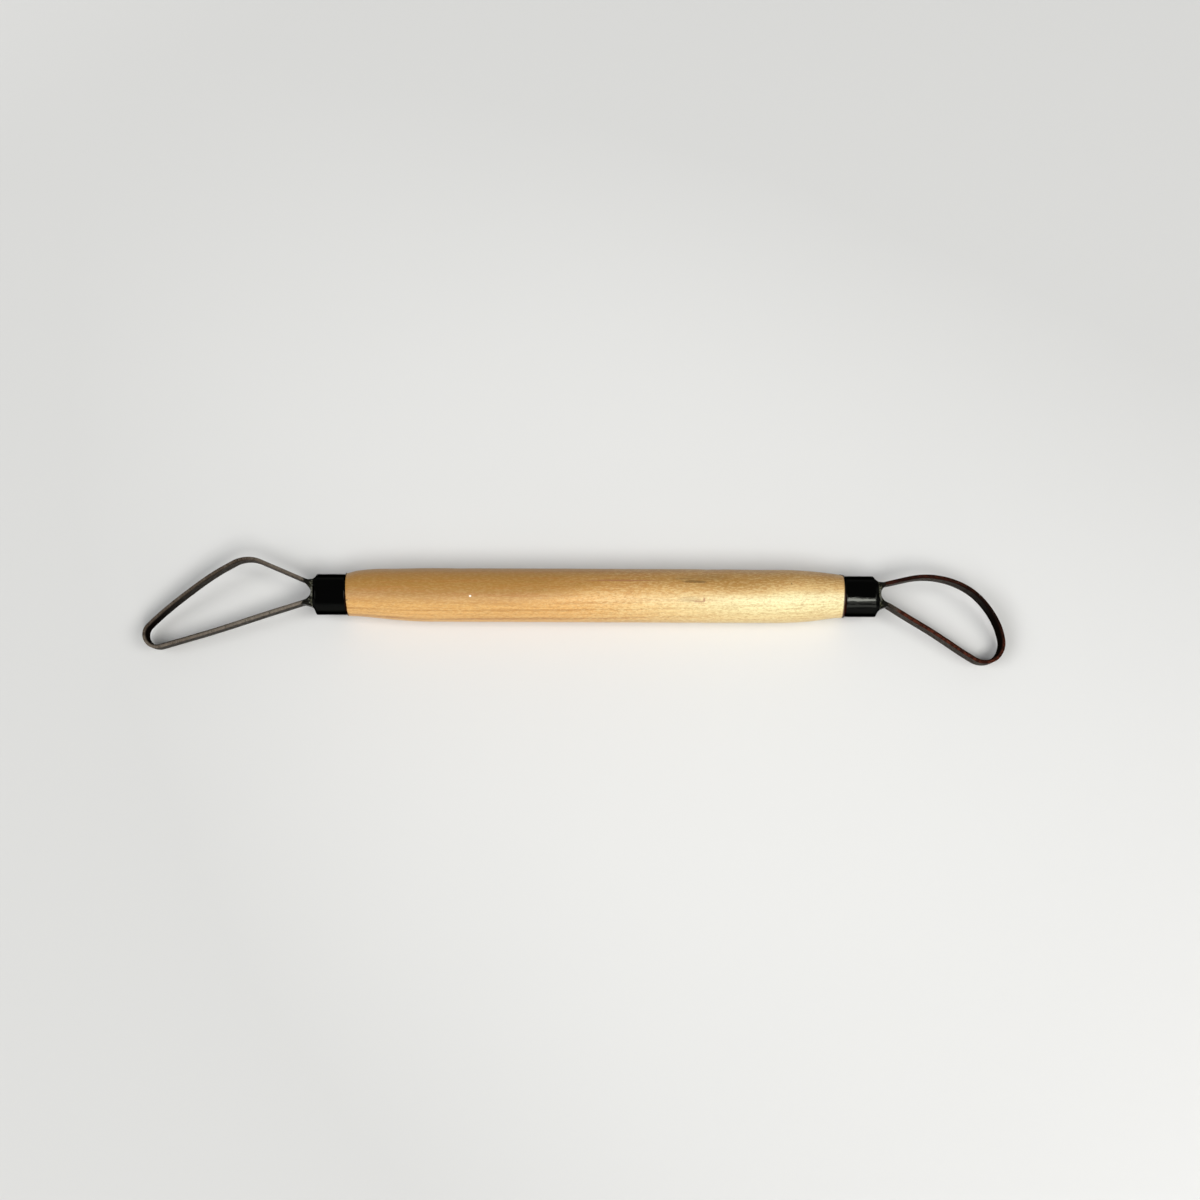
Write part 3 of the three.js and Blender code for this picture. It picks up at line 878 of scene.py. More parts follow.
def black_finish(sleeve):
    """Glossy black that reflects little even at a shallow angle, so it is set up as a metal whose colour is
    its faint reflection. A slow waviness along the sleeve breaks reflections up a little, and there is fine
    dust."""
    finish = Finish("glossy_black")
    place = finish.tool_millimetres()
    drawn = finish.stretched_noise(place, (0.25, 1.3, 1.3), detail=3)
    dust = finish.stretched_noise(place, (2.5, 6.0, 6.0), detail=4, roughness=0.7)
    black = finish.mix(finish.span(dust, 0.6, 0.8, 0.0, 0.12), sleeve.black, sleeve.dust)
    finish.set(
        Base_Color=finish.mix(finish.attribute("thin"), black, sleeve.thin_black),
        Metallic=1.0,
        Specular_Tint=grey(0.36),
        Roughness=finish.span(drawn, 0.3, 0.7, 0.05, 0.10),
        Normal=finish.relief(drawn, 0.04 * MM),
    )
    return finish.material


def resin_finish(resin):
    """Dark olive resin, glossy and uneven: paler streaks that are painted glints, and near black and dull in
    the fillets along the legs."""
    finish = Finish("olive_resin")
    place = finish.tool_millimetres()
    cloud = finish.stretched_noise(place, (1.4, 1.4, 1.4), detail=3, roughness=0.6)
    streak = finish.stretched_noise(place, (2.2, 2.2, 2.2), detail=3, distortion=0.8)
    dark_in_fillet = finish.span(finish.total(finish.attribute("climb"), finish.swing(cloud, 0.8)), -0.06, 0.14)
    resin_with_glints = finish.mix(finish.span(streak, 0.56, 0.68, 0.0, 0.4), resin.olive, resin.milky)
    finish.set(
        Base_Color=finish.mix(dark_in_fillet, resin_with_glints, resin.dark),
        Roughness=finish.span(streak, 0.3, 0.7, 0.14, 0.32),
        Specular_IOR_Level=finish.span(dark_in_fillet, 0.0, 1.0, 0.35, 0.02),
        Normal=finish.relief(streak, 0.08 * MM),
    )
    return finish.material


# Grip

def wood_radius(inside, taper, grip):
    """Radius of the turned wood at a distance inside its shoulder: the full radius less drop * share^2 over
    the taper, then a quarter circle at the shoulder's edge."""
    full, shoulder = grip.diameter / 2, grip.shoulder_diameter / 2
    share = np.clip((taper - np.maximum(inside, grip.rounding)) / (taper - grip.rounding), 0, 1)
    fall = grip.rounding - np.clip(inside, 0, grip.rounding)
    corner = grip.rounding - np.sqrt(np.maximum(grip.rounding ** 2 - fall ** 2, 0))
    return full - (full - shoulder) * share ** 2 - corner


def grip_end_rings(taper, grip):
    """Distance from the grip's middle and radius of the rings of one half: taper, rounded edge, face and
    stub."""
    half, stub = grip.length / 2, grip.stub_diameter / 2
    inside = joined_runs(
        np.linspace(half, grip.rounding, 190),
        grip.rounding * (1 - np.sin(np.linspace(0, math.pi / 2, 9))),
    )
    edge = wood_radius(0, taper, grip)
    face = np.linspace(edge, stub, 6)[1:]
    on_stub = half + grip.stub_length * np.array([0.02, 0.5, 1])
    along = np.concatenate([half - inside, np.full(len(face), half), on_stub])
    radius = np.concatenate([wood_radius(inside, taper, grip), face, np.full(len(on_stub), stub)])
    return along, radius


def wood_hollows(x, turn, radius, grip):
    """How far the wood lies below its turned form: small uneven hollows from sanding, and each dent's depth
    * e^(-distance^2), with distances over its half sizes. All fade out at the shoulders."""
    places = (x, radius * np.cos(turn), radius * np.sin(turn))
    inside = grip.length / 2 - np.abs(x)
    slow = waves(3, 7, 14 * MM, 45 * MM, *places)
    quick = waves(8, 9, 3.5 * MM, 9 * MM, *places)
    uneven = 0.6 * (1 + slow) + 0.25 * (1 + quick)
    hollow = grip.unevenness * uneven * smooth_step(0.3 * MM, 6 * MM, inside)
    off_shoulder = smooth_step(0, 2.5 * MM, inside)
    for middle, facing, (half_length, half_turn), depth in DENTS:
        around = (turn - facing + math.pi) % (2 * math.pi) - math.pi
        away = np.hypot((x - middle * MM) / (half_length * MM), around / half_turn)
        hollow = hollow + depth * MM * np.exp(-away ** 2) * off_shoulder
    return hollow


def grip_surface(grip, ribbon):
    """The turned grip: a circle of the profile's radius at each ring, less the wood's hollows. Each stub is
    cut flat, top and bottom, where a tang lies on it. The angled end's shoulder leans by askew * y."""
    angled_along, angled_radius = grip_end_rings(grip.angled_taper, grip)
    curved_along, curved_radius = grip_end_rings(grip.curved_taper, grip)
    along = np.concatenate([-angled_along[::-1], curved_along[1:]])[:, None]
    radius = np.concatenate([angled_radius[::-1], curved_radius[1:]])[:, None]
    turn = np.linspace(0, 2 * math.pi, 144, endpoint=False)[None, :]
    radius = radius - wood_hollows(along, turn, radius, grip)
    x, y, z = np.broadcast_arrays(along, radius * np.cos(turn), radius * np.sin(turn))

    seat = ribbon.thickness / 2 + GLUE_GAP
    top = ribbon.tang_shift + ribbon.tang_spacing / 2 - seat
    bottom = ribbon.tang_shift - ribbon.tang_spacing / 2 + seat
    past_shoulder = np.abs(x) > grip.length / 2 + 0.0001 * MM
    y = np.where(past_shoulder, np.clip(y, bottom, top), y)
    near_shoulder = 1 - smooth_step(0, 6 * MM, grip.length / 2 + x)
    x = x - grip.askew * y * near_shoulder
    return close_tube(tool_to_row(np.stack([x, y, z], axis=-1)))


# Ribbon loops

# Where each strip was bent by hand a little off its drawn line: where along it, half length, and how far
# outwards, in millimetres
ANGLED_BENDS = ((45.5, 5.5, 0.17), (67.0, 4.5, -0.17), (86.0, 10.0, 0.21))
CURVED_BENDS = (
    (43.0, 5.5, 0.17), (52.5, 3.0, 0.05), (58.5, 2.0, -0.12), (69.0, 4.0, 0.17), (79.0, 4.0, -0.1),
)

# Worn edges: how far in from a strip's edge they begin, and where they are full
WORN_START, WORN_FULL = 0.35 * MM, 0.02 * MM

# How uneven rolling and bending have left a strip, as shares of its thickness and its width
UNEVEN_THICKNESS, UNEVEN_WIDTH = 0.015, 0.008


class Path(NamedTuple):
    """A strip's places as complex numbers x + iy with the heading at each, how far along it the middle of
    its tip and its lower neck lie, and how far it leans over its width, as x + iy."""

    places: np.ndarray
    headings: np.ndarray
    tip: float
    lower_neck: float
    lean: complex


def walk(start, stretches, spacing):
    """Places along a bent strip as complex numbers x + iy, with the heading at each. A stretch of length L
    and turn a adds (e^(i(h + a)) - e^(ih)) * L / (ia) to where it starts with heading h, or L * e^(ih)
    where it is straight."""
    places, headings = [np.array([start])], [np.array([0.0])]
    for run, turn in stretches:
        steps = max(2, math.ceil(run / spacing))
        part = np.arange(1, steps + 1) / steps
        heading = headings[-1][-1]
        now = heading + turn * part
        if turn:
            reach = (np.exp(1j * now) - np.exp(1j * heading)) * run / (1j * turn)
        else:
            reach = run * part * np.exp(1j * heading)
        places.append(places[-1][-1] + reach)
        headings.append(now)
    return np.concatenate(places), np.concatenate(headings)


def bent_by_hand(places, headings, bends):
    """Moves each place outwards, at i * e^(ih), by the sum of the bends' amounts * e^(-(distance /
    length)^2)."""
    run = np.concatenate([[0], np.cumsum(np.abs(np.diff(places)))]) / MM
    outwards = sum(amount * np.exp(-((run - middle) / size) ** 2) for middle, size, amount in bends)
    return places + outwards * MM * 1j * np.exp(1j * headings)


def loop_path(loop, bows, bends, lean, ribbon):
    """The whole strip: tang, neck, upper leg, the bows, then round the tip, and the leg that closes the
    loop on the lower tang. That leg touches the tip's circle and the last bend's, which turn opposite ways,
    so it crosses the line between their centres at an angle whose sine is the sum of the radii over the
    centres' distance."""
    upper = ribbon.tang_shift + ribbon.tang_spacing / 2
    lower = ribbon.tang_shift - ribbon.tang_spacing / 2
    tang = ribbon.slot_depth + ribbon.tang_reach
    stretches = [
        (tang + loop.upper_neck, 0),
        (ribbon.neck_radius * loop.leg_slope, loop.leg_slope),
        (loop.leg_length, 0),
        *((radius * turn, -turn) for radius, turn in bows),
    ]
    start = complex(-ribbon.slot_depth, upper)
    places, headings = walk(start, stretches, ribbon.spacing)
    tip_centre = places[-1] - 1j * loop.tip_radius * np.exp(1j * headings[-1])
    neck_centre = complex(ribbon.tang_reach + loop.lower_neck, lower - ribbon.neck_radius)
    between = neck_centre - tip_centre
    both = ribbon.neck_radius + loop.tip_radius
    leg_heading = np.angle(between) - math.asin(both / abs(between)) - 2 * math.pi
    tip_turn = leg_heading - headings[-1]
    last_turn = -math.pi - leg_heading
    tip_place = sum(run for run, _ in stretches) + loop.tip_radius * abs(tip_turn) / 2
    stretches += [
        (loop.tip_radius * abs(tip_turn), tip_turn),
        (math.sqrt(abs(between) ** 2 - both ** 2), 0),
        (ribbon.neck_radius * abs(last_turn), last_turn),
        (tang + loop.lower_neck, 0),
    ]
    lower_neck = sum(run for run, _ in stretches[:-1])
    places, headings = walk(start, stretches, ribbon.spacing)
    return Path(bent_by_hand(places, headings, bends), headings, tip_place, lower_neck, lean)


def ribbon_section(ribbon):
    """Outline of the strip's cross-section, as offsets through its thickness and across its width: a
    rectangle with a quarter circle at each corner, in points that crowd at the corners. The second half
    mirrors the first."""
    half_thick, half_wide, corner = ribbon.thickness / 2, ribbon.width / 2, ribbon.edge_rounding
    arc = np.linspace(0, math.pi / 2, 6)
    face = eased(-(half_wide - corner), half_wide - corner, 16)[1:-1]
    edge = eased(half_thick - corner, corner - half_thick, 5)[1:-1]
    thick = np.concatenate([
        np.full(len(face), half_thick),
        half_thick - corner + corner * np.cos(arc),
        edge,
        corner - half_thick - corner * np.sin(arc),
    ])
    wide = np.concatenate([
        face,
        half_wide - corner + corner * np.sin(arc),
        np.full(len(edge), half_wide),
        half_wide - corner + corner * np.cos(arc),
    ])
    return np.concatenate([thick, -thick]), np.concatenate([wide, -wide])


def ribbon_surface(path, seed, end, grip, ribbon):
    """The section carried along the path: place + thickness * i e^(ih) in the loop's plane, and width
    square to it, with slow unevenness from rolling and bending by hand. Beyond the sleeve it leans by lean
    * width."""
    places, headings = path.places, path.headings
    thick, wide = ribbon_section(ribbon)
    run = np.concatenate([[0], np.cumsum(np.abs(np.diff(places)))])[:, None]
    uneven_face = waves(seed, 8, 2.5 * MM, 9 * MM, run + 0 * wide, wide + 0 * run)
    uneven_edge = waves(seed + 1, 8, 2 * MM, 12 * MM, run)
    thick_here = thick[None, :] * (1 - UNEVEN_THICKNESS + UNEVEN_THICKNESS * uneven_face)
    wide_here = wide[None, :] * (1 - UNEVEN_WIDTH + UNEVEN_WIDTH * uneven_edge)
    beyond_sleeve = smooth_step(ribbon.tang_reach, ribbon.tang_reach + 5 * MM, places.real)
    across = places[:, None] + thick_here * 1j * np.exp(1j * headings[:, None])
    across = across + path.lean * beyond_sleeve[:, None] * wide_here
    grid = np.stack([across.real, across.imag, wide_here], axis=-1)
    points, faces = close_tube(end_to_row(grid, end, grip))

    half_wide = ribbon.width / 2
    values = {
        "along": run / MM,
        "across": wide / MM,
        "edge": smooth_step(half_wide - WORN_START, half_wide - WORN_FULL, np.abs(wide)),
        "inner": smooth_step(0, ribbon.thickness / 2, -thick),
    }
    grids = {key: np.broadcast_to(value, across.shape) for key, value in values.items()}
    attributes = {
        key: np.concatenate([value.ravel(), [value[0].mean(), value[-1].mean()]])
        for key, value in grids.items()
    }
    return points, faces, attributes


def loops_of(tool):
    """For each end: its sign, its name, its strip's path, and how the strip has worn, with the painted shade
    along its edge.
    """
    ribbon, angled, curved = tool.ribbon, tool.angled_loop, tool.curved_loop
    angled_bows = ((angled.knee_radius, angled.knee_turn), (angled.cutter_radius, angled.cutter_turn))
    curved_bows = ((curved.bow_radius, curved.bow_turn),)
    lean = complex(curved.lean_out, curved.lean_up)
    worn = WearAndShade(
        edge_colour=ribbon.worn_edge,
        edge_share=0.95,
        flaked=0.25,
        matt=0.5,
        hatched=0.12,
        shade_colour=ribbon.bloom,
        shade_stops=ANGLED_EDGE_SHADE,
        soot_start=4.0,
        soot_reach=30.0,
        least_soot=0.55,
        clean_leg=0.0,
    )
    rusted = WearAndShade(
        edge_colour=ribbon.rust,
        edge_share=1.0,
        flaked=0.75,
        matt=1.0,
        hatched=0.0,
        shade_colour=ribbon.soot,
        shade_stops=CURVED_EDGE_SHADE,
        soot_start=10.0,
        soot_reach=36.0,
        least_soot=0.3,
        clean_leg=4.5,
    )
    return (
        (ANGLED_END, "angled", loop_path(angled, angled_bows, ANGLED_BENDS, 0, ribbon), worn),
        (CURVED_END, "curved", loop_path(curved, curved_bows, CURVED_BENDS, lean, ribbon), rusted),
    )


# Sleeves

# Radius of the edge at a nose's end, and half of the stretch over which a sleeve starts to narrow
NOSE_EDGE = 0.12 * MM

# Gap between the wood and a sleeve's lip, and how much of the lip's reach its outside has
LIP_GAP = 0.015 * MM
LIP_OUTSIDE = 0.9

# How far the lip's end waves, and a tongue of it at the curved end: how far it laps over the wood, and its
# place and half width as angles round the sleeve
LIP_WAVE = 0.06 * MM
TONGUE_REACH = 0.85 * MM
TONGUE_PLACE, TONGUE_WIDTH = 0.12, 0.2


def sleeve_outline(sleeve, nose):
    """Distances from the shoulder along the shell's outside, round the edge of its nose and back inside,
    and for each how far it lies inside, from 0 to 1."""
    forward = joined_runs(
        np.linspace(-LIP_OUTSIDE * sleeve.lip_reach, sleeve.flare, 20),
        np.linspace(sleeve.flare, nose.start - NOSE_EDGE, 24),
        np.linspace(nose.start - NOSE_EDGE, nose.start + NOSE_EDGE, 9),
        np.linspace(nose.start + NOSE_EDGE, nose.end - NOSE_EDGE, 10),
    )
    arc = np.linspace(0, math.pi, 9)
    round_edge = nose.end - NOSE_EDGE + NOSE_EDGE * np.sin(arc)
    along = np.concatenate([forward, round_edge, forward[::-1]])
    to_inside = np.concatenate([np.zeros(len(forward)), (1 - np.cos(arc)) / 2, np.ones(len(forward))])
    return along[:, None], to_inside[:, None]


def sleeve_radius(along, to_inside, taper, grip, sleeve):
    """Radius of the shell. Outside, it rises by the square of the nearness to the lip's end, from the tube
    to the lip over the wood. Inside, it is the bore, and under the lip the wood's own radius."""
    over_wood = wood_radius(np.maximum(-along, 0), taper, grip) + LIP_GAP
    lip_end = LIP_OUTSIDE * sleeve.lip_reach
    rise = (1 - np.clip((along + lip_end) / (sleeve.flare + lip_end), 0, 1)) ** 2
    outside = np.maximum(
        sleeve.radius + rise * (grip.shoulder_diameter / 2 + sleeve.lip_wall - sleeve.radius),
        np.where(along < 0.05 * MM, over_wood + sleeve.lip_wall * 0.8, 0),
    )
    bore = sleeve.radius - sleeve.wall
    under_lip = 1 - smooth_step(0.02 * MM, 0.12 * MM, along)
    inside = bore + under_lip * (over_wood - bore)
    return outside + to_inside * (inside - outside)


def sleeve_surface(end, taper, grip, sleeve, nose):
    """A shell whose outside and inside are radii over x: at the wood a thin uneven lip flares out over the
    shoulder's rounded edge, then a tube, then a blend from the circle to a rectangle with round corners at
    the nose. The nose leans by skew * y, and the angled end's lip by askew * y, as the wood does."""
    along, to_inside = sleeve_outline(sleeve, nose)
    turn = np.linspace(0, 2 * math.pi, 160, endpoint=False)[None, :]
    lip_wave = waves(5 + end, 7, 0.4, 1.6, np.cos(turn), np.sin(turn))
    tongue = np.exp(-((turn - TONGUE_PLACE) / TONGUE_WIDTH) ** 2) if end == CURVED_END else 0
    lip_share = 1 - smooth_step(0, sleeve.flare, along)
    along = along + (LIP_WAVE * lip_wave - TONGUE_REACH * tongue) * lip_share
    radius = sleeve_radius(along, to_inside, taper, grip, sleeve)

    nose_length = nose.end - nose.start
    blend = np.where(
        np.abs(along - nose.start) < NOSE_EDGE,
        (along - nose.start + NOSE_EDGE) ** 2 / (4 * NOSE_EDGE * nose_length),
        np.clip((along - nose.start) / nose_length, 0, 1),
    )
    wall_cut = to_inside * sleeve.nose_wall
    nose_sizes = (size - wall_cut for size in (nose.half_height, sleeve.nose_depth, sleeve.nose_rounding))
    nose_y, nose_z = rounded_rectangle(turn, *nose_sizes)
    y = radius * np.cos(turn) * (1 - blend) + (nose_y + nose.shift) * blend
    z = radius * np.sin(turn) * (1 - blend) + nose_z * blend
    uneven = waves(21 + end, 8, 1.2 * MM, 5 * MM, along + 0 * turn, y, z)
    ripple = 1 + 0.0015 * uneven * (along > sleeve.flare)
    leaning = along - nose.skew * y * smooth_step(2 * MM, nose.start, along)
    if end == ANGLED_END:
        leaning = leaning + grip.askew * y * (1 - smooth_step(0, 3 * MM, along))
    grid = np.stack([leaning, y * ripple, z * ripple], axis=-1)
    rows, columns, _ = grid.shape
    points = end_to_row(grid, end, grip).reshape(-1, 3)
    thin = (1 - smooth_step(0, 0.3 * MM, along)) * smooth_step(1 * MM, -3 * MM, y)
    return points, [grid_faces(rows, columns, wrap_rows=True)], {"thin": thin}


# Resin

def leg_rise(places, x):
    """How far a leg's middle has left its tang's line at a distance x: read off the strip's places from
    that tang on, of which the first quarter reaches past the resin."""
    leg = places[:len(places) // 4]
    return np.interp(x, leg.real, leg.imag) - leg.imag[0]


# How far the resin's edge lies inside the nose's outside and behind its end, how far the resin reaches into
# a leg, and the height of its lumps
RESIN_INSET = 0.07 * MM
RESIN_SUNK = 0.05 * MM
RESIN_OVERLAP = 0.03 * MM
RESIN_LUMP = 0.05 * MM


class Legs(NamedTuple):
    """Where the two legs pass through the resin: y of their middles, and half their thickness and width."""

    upper: float
    lower: float
    half_thick: float
    half_wide: float


def resin_grid(legs, half_height, half_depth, shift_up):
    """Values of y and z over the poured face, with lines along the legs' faces and edges."""
    height = joined_runs(
        eased(shift_up - half_height, legs.lower - legs.half_thick, 18),
        np.linspace(legs.lower - legs.half_thick, legs.lower + legs.half_thick, 7),
        eased(legs.lower + legs.half_thick, legs.upper - legs.half_thick, 60),
        np.linspace(legs.upper - legs.half_thick, legs.upper + legs.half_thick, 7),
        eased(legs.upper + legs.half_thick, shift_up + half_height, 18),
    )
    depth = joined_runs(
        eased(-half_depth, -legs.half_wide, 16),
        np.linspace(-legs.half_wide, legs.half_wide, 40),
        eased(legs.half_wide, half_depth, 16),
    )
    return np.meshgrid(height - shift_up, depth, indexing="ij")


def resin_climb(y, z, legs, half_height, shift_up, resin):
    """How far the resin climbs, from 0 to 1 beside a leg: 1 - sqrt(1 - q^2), where q falls from 1 at the
    leg to 0 at the fillet's far side, straightened outside a leg by the outer slope."""
    beside = np.maximum(np.abs(z) - legs.half_wide, 0) / resin.fillet
    gap = (legs.upper - legs.lower) / 2 - legs.half_thick
    climb = np.zeros_like(y)
    for middle, facing in ((legs.upper, -1), (legs.lower, 1)):
        away = np.maximum(np.abs(y - middle) - legs.half_thick, 0)
        to_edge = half_height - facing * (shift_up - middle) - legs.half_thick
        inside_loop = (y - middle) * facing > 0
        wide = np.where(inside_loop, gap, to_edge)
        nearness = np.clip(1 - np.hypot(away / wide, beside), 0, 1)
        slope = np.where((y - middle) * facing < 0, resin.outer_slope, 0) * nearness
        climb = np.maximum(climb, slope + (1 - slope) * (1 - np.sqrt(1 - nearness ** 2)))
    return climb


def resin_surface(path, end, grip, ribbon, sleeve, nose, resin):
    """A poured face x = h(y, z) over the nose's end, closed behind. It stands out a little in the middle
    and climbs each leg: across half of the gap between the legs inside the loop, to the nose's edge outside
    it, and over a narrow fillet beside a leg's long edges. It leans with the legs."""
    half_height, half_depth = nose.half_height - RESIN_INSET, sleeve.nose_depth - RESIN_INSET
    legs = Legs(
        ribbon.tang_shift + ribbon.tang_spacing / 2,
        ribbon.tang_shift - ribbon.tang_spacing / 2,
        ribbon.thickness / 2 - RESIN_OVERLAP,
        ribbon.width / 2 - RESIN_OVERLAP,
    )
    square_y, square_z = resin_grid(legs, half_height, half_depth, nose.shift)
    y, z = round_corners(square_y, square_z, half_height, half_depth, sleeve.nose_rounding)
    y = y + nose.shift
    powers = (np.abs(square_y) / half_height) ** 5 + (np.abs(square_z) / half_depth) ** 5
    edge = np.clip(powers ** 0.2, 0, 1)
    stand = nose.end - nose.skew * y - RESIN_SUNK + nose.reach * (1 - edge ** 5)
    climb = resin_climb(y, z, legs, half_height, nose.shift, resin)
    lumps = waves(31 + end, 9, 0.9 * MM, 3 * MM, y, z)
    x = stand + nose.creep * climb * (1 + 0.18 * lumps) + RESIN_LUMP * lumps * (1 - edge)
    to_upper = smooth_step(legs.lower + legs.half_thick, legs.upper - legs.half_thick, y)
    rise = to_upper * leg_rise(path.places, x) + (1 - to_upper) * leg_rise(path.places[::-1], x)

    bore_share = 1 - sleeve.nose_wall / half_depth
    back_x = np.full_like(x, grip.stub_length + GLUE_GAP)
    front = np.stack([x, y + rise, z], axis=-1)
    back = np.stack([back_x, nose.shift + square_y * bore_share, square_z * bore_share], axis=-1)
    rows, columns, _ = front.shape
    count = rows * columns
    number = np.arange(count).reshape(rows, columns)
    rim = np.concatenate([number[0, :-1], number[:-1, -1], number[-1, :0:-1], number[:0:-1, 0]])
    after = np.roll(rim, -1)
    points = end_to_row(np.concatenate([front.reshape(-1, 3), back.reshape(-1, 3)]), end, grip)
    front_faces = grid_faces(rows, columns, wrap_columns=False)
    side_faces = np.stack([rim, after, after + count, rim + count], axis=1)
    attributes = {"climb": np.concatenate([climb.ravel(), np.zeros(count)])}
    return points, [front_faces, side_faces[:, ::-1], front_faces[:, ::-1] + count], attributes


# Stage

class Pane(NamedTuple):
    """An upright window: azimuth in degrees from -Y towards +X, sizes in metres, and its light's tint."""

    azimuth: float
    distance: float
    width: float
    sill: float
    top: float
    tint: tuple


WARM_DAYLIGHT = (1, 0.99, 0.965)
COOL_DAYLIGHT = (0.985, 0.99, 1)
PANES = {
    "window": Pane(52, 1.0, 1.3, 1.0, 2.2, WARM_DAYLIGHT),
    "bright_pane": Pane(13, 1.3, 0.2, 1.28, 2.14, WARM_DAYLIGHT),
    "middle_pane": Pane(13, 1.3, 0.2, 0.77, 1.27, WARM_DAYLIGHT),
    "low_pane": Pane(13, 1.3, 0.2, 0.18, 0.55, WARM_DAYLIGHT),
    "side_window": Pane(-62, 1.2, 1.4, 1.0, 2.6, COOL_DAYLIGHT),
}


def make_window(name, pane, brightness):
    """A window that faces the tool. Its power is brightness * pi * its area, which gives it that brightness
    from wherever it is seen."""
    height = pane.top - pane.sill
    place = Vector(from_above_table(pane.azimuth, 0, pane.distance))
    aim = Vector((0, 0, pane.sill + height / 2))
    data = bpy.data.lights.new(name, "AREA")
    data.shape = "RECTANGLE"
    data.size, data.size_y = pane.width, height
    data.energy = brightness * math.pi * pane.width * height
    data.color = pane.tint
    lamp = bpy.data.objects.new(name, data)
    lamp.location = place + aim
    lamp.rotation_mode = "QUATERNION"
    lamp.rotation_quaternion = (-place).to_track_quat("-Z", "Y")
    bpy.context.scene.collection.objects.link(lamp)


def from_above_table(azimuth, elevation, distance):
    """A place at that distance from the tool: azimuth in degrees from -Y towards +X, elevation above the
    table."""
    around, up = math.radians(azimuth), math.radians(elevation)
    return (
        distance * math.sin(around) * math.cos(up),
        -distance * math.cos(around) * math.cos(up),
        distance * math.sin(up),
    )


def make_camera(stage):
    """The camera looks down at the loops' plane beside the grip's middle, and leans a little."""
    aim = Vector(tool_to_row(np.array([stage.aim_along, stage.aim_across, 0.0])))
    back = Vector(from_above_table(0, math.degrees(stage.elevation), 1))
    data = bpy.data.cameras.new("camera")
    data.lens = stage.lens
    data.clip_start, data.clip_end = 0.01, 20
    camera = bpy.data.objects.new("camera", data)
    camera.location = aim + back * stage.distance
    upright = back.to_track_quat("Z", "Y").to_matrix()
    lean = Matrix.Rotation(stage.lean, 3, "Z")
    camera.rotation_mode = "QUATERNION"
    camera.rotation_quaternion = (upright @ lean).to_quaternion()
    bpy.context.scene.collection.objects.link(camera)
    bpy.context.scene.camera = camera


ROOM_TINT = (0.97, 0.985, 1, 1)


def make_room(stage):
    """A room that is pale at the horizon and dim overhead: brightness over the height of the direction."""
    world = bpy.data.worlds.new("room")
    bpy.context.scene.world = world
    world.use_nodes = True
    tree = world.node_tree
    direction = tree.nodes.new("ShaderNodeTexCoord").outputs["Generated"]
    height = tree.nodes.new("ShaderNodeSeparateXYZ")
    tree.links.new(direction, height.inputs[0])
    fall = tree.nodes.new("ShaderNodeMapRange")
    fall.interpolation_type = "SMOOTHSTEP"
    tree.links.new(height.outputs["Z"], fall.inputs["Value"])
    limits = {"From Min": 0.0, "From Max": 0.45, "To Min": stage.horizon, "To Max": stage.overhead}
    for name, value in limits.items():
        fall.inputs[name].default_value = value
    background = tree.nodes["Background"]
    background.inputs["Color"].default_value = ROOM_TINT
    tree.links.new(fall.outputs["Result"], background.inputs["Strength"])


def floor_finish(stage):
    """Matt pale board with a very faint mottle. It is a little paler towards +X and -Y and near the tool,
    which is painted light.
    """
    finish = Finish("pale_floor")
    place = finish.add("ShaderNodeTexCoord", {}, output="Object")
    x, y, _ = finish.parts(place)
    # Painted light: the colour slants paler towards +X and -Y and falls off away from the tool.
    slant = finish.total(finish.product(x, 0.66), finish.product(y, -0.22), finish.product(x, y, -8.0))
    mottle = finish.swing(finish.stretched_noise(place, (9, 9, 9), detail=3), 0.02)
    far = finish.span(finish.length_of(place), 0.03, 0.2, 0.0, -0.18)
    share = finish.span(finish.total(slant, mottle, far), -0.16, 0.16, bend="LINEAR")
    shaded_floor_colour = tuple(0.78 * part for part in stage.floor_colour)
    finish.set(Base_Color=finish.mix(share, shaded_floor_colour, stage.floor_colour), Roughness=0.7)
    return finish.material


def make_floor(stage):
    """A square board just under the table's plane, so that the tool's lowest points don't touch it."""
    half = stage.floor_size / 2
    corners = [(-half, -half, 0), (half, -half, 0), (half, half, 0), (-half, half, 0)]
    mesh = bpy.data.meshes.new("floor")
    mesh.from_pydata(corners, [], [(0, 1, 2, 3)])
    mesh.materials.append(floor_finish(stage))
    floor = bpy.data.objects.new("floor", mesh)
    floor.location.z = -0.01 * MM
    bpy.context.scene.collection.objects.link(floor)
    return floor


# Operators

def settings_of(context):
    return context.scene.ribbon_tool


class StageOperator(bpy.types.Operator):
    """Set up the floor, the camera and the soft light"""

    bl_idname = "ribbon_tool.stage"
    bl_label = "Stage"

    def execute(self, context):
        stage = settings_of(context).stage
        make_camera(stage)
        make_room(stage)
        make_floor(stage)
        for name, pane in PANES.items():
            make_window(name, pane, getattr(stage, name))
        context.scene.view_settings.view_transform = "Standard"
        return {"FINISHED"}


class GripOperator(bpy.types.Operator):
    """Turn the wooden grip"""

    bl_idname = "ribbon_tool.grip"
    bl_label = "Grip"

    def execute(self, context):
        tool = settings_of(context)
        points, faces = grip_surface(tool.grip, tool.ribbon)
        make_piece("turned_grip", points, faces, wood_finish(tool.grip), "wooden_grip")
        return {"FINISHED"}


class LoopsOperator(bpy.types.Operator):
    """Bend the two ribbon loops"""

    bl_idname = "ribbon_tool.loops"
    bl_label = "Loops"

    def execute(self, context):
        tool = settings_of(context)
        ribbon = tool.ribbon
        for end, name, path, wear in loops_of(tool):
            points, faces, attributes = ribbon_surface(path, 40 + end, end, tool.grip, ribbon)
            steel = steel_finish(f"{name}_steel", ribbon, path, wear)
            make_piece(f"{name}_ribbon", points, faces, steel, f"{name}_loop", attributes)
        return {"FINISHED"}


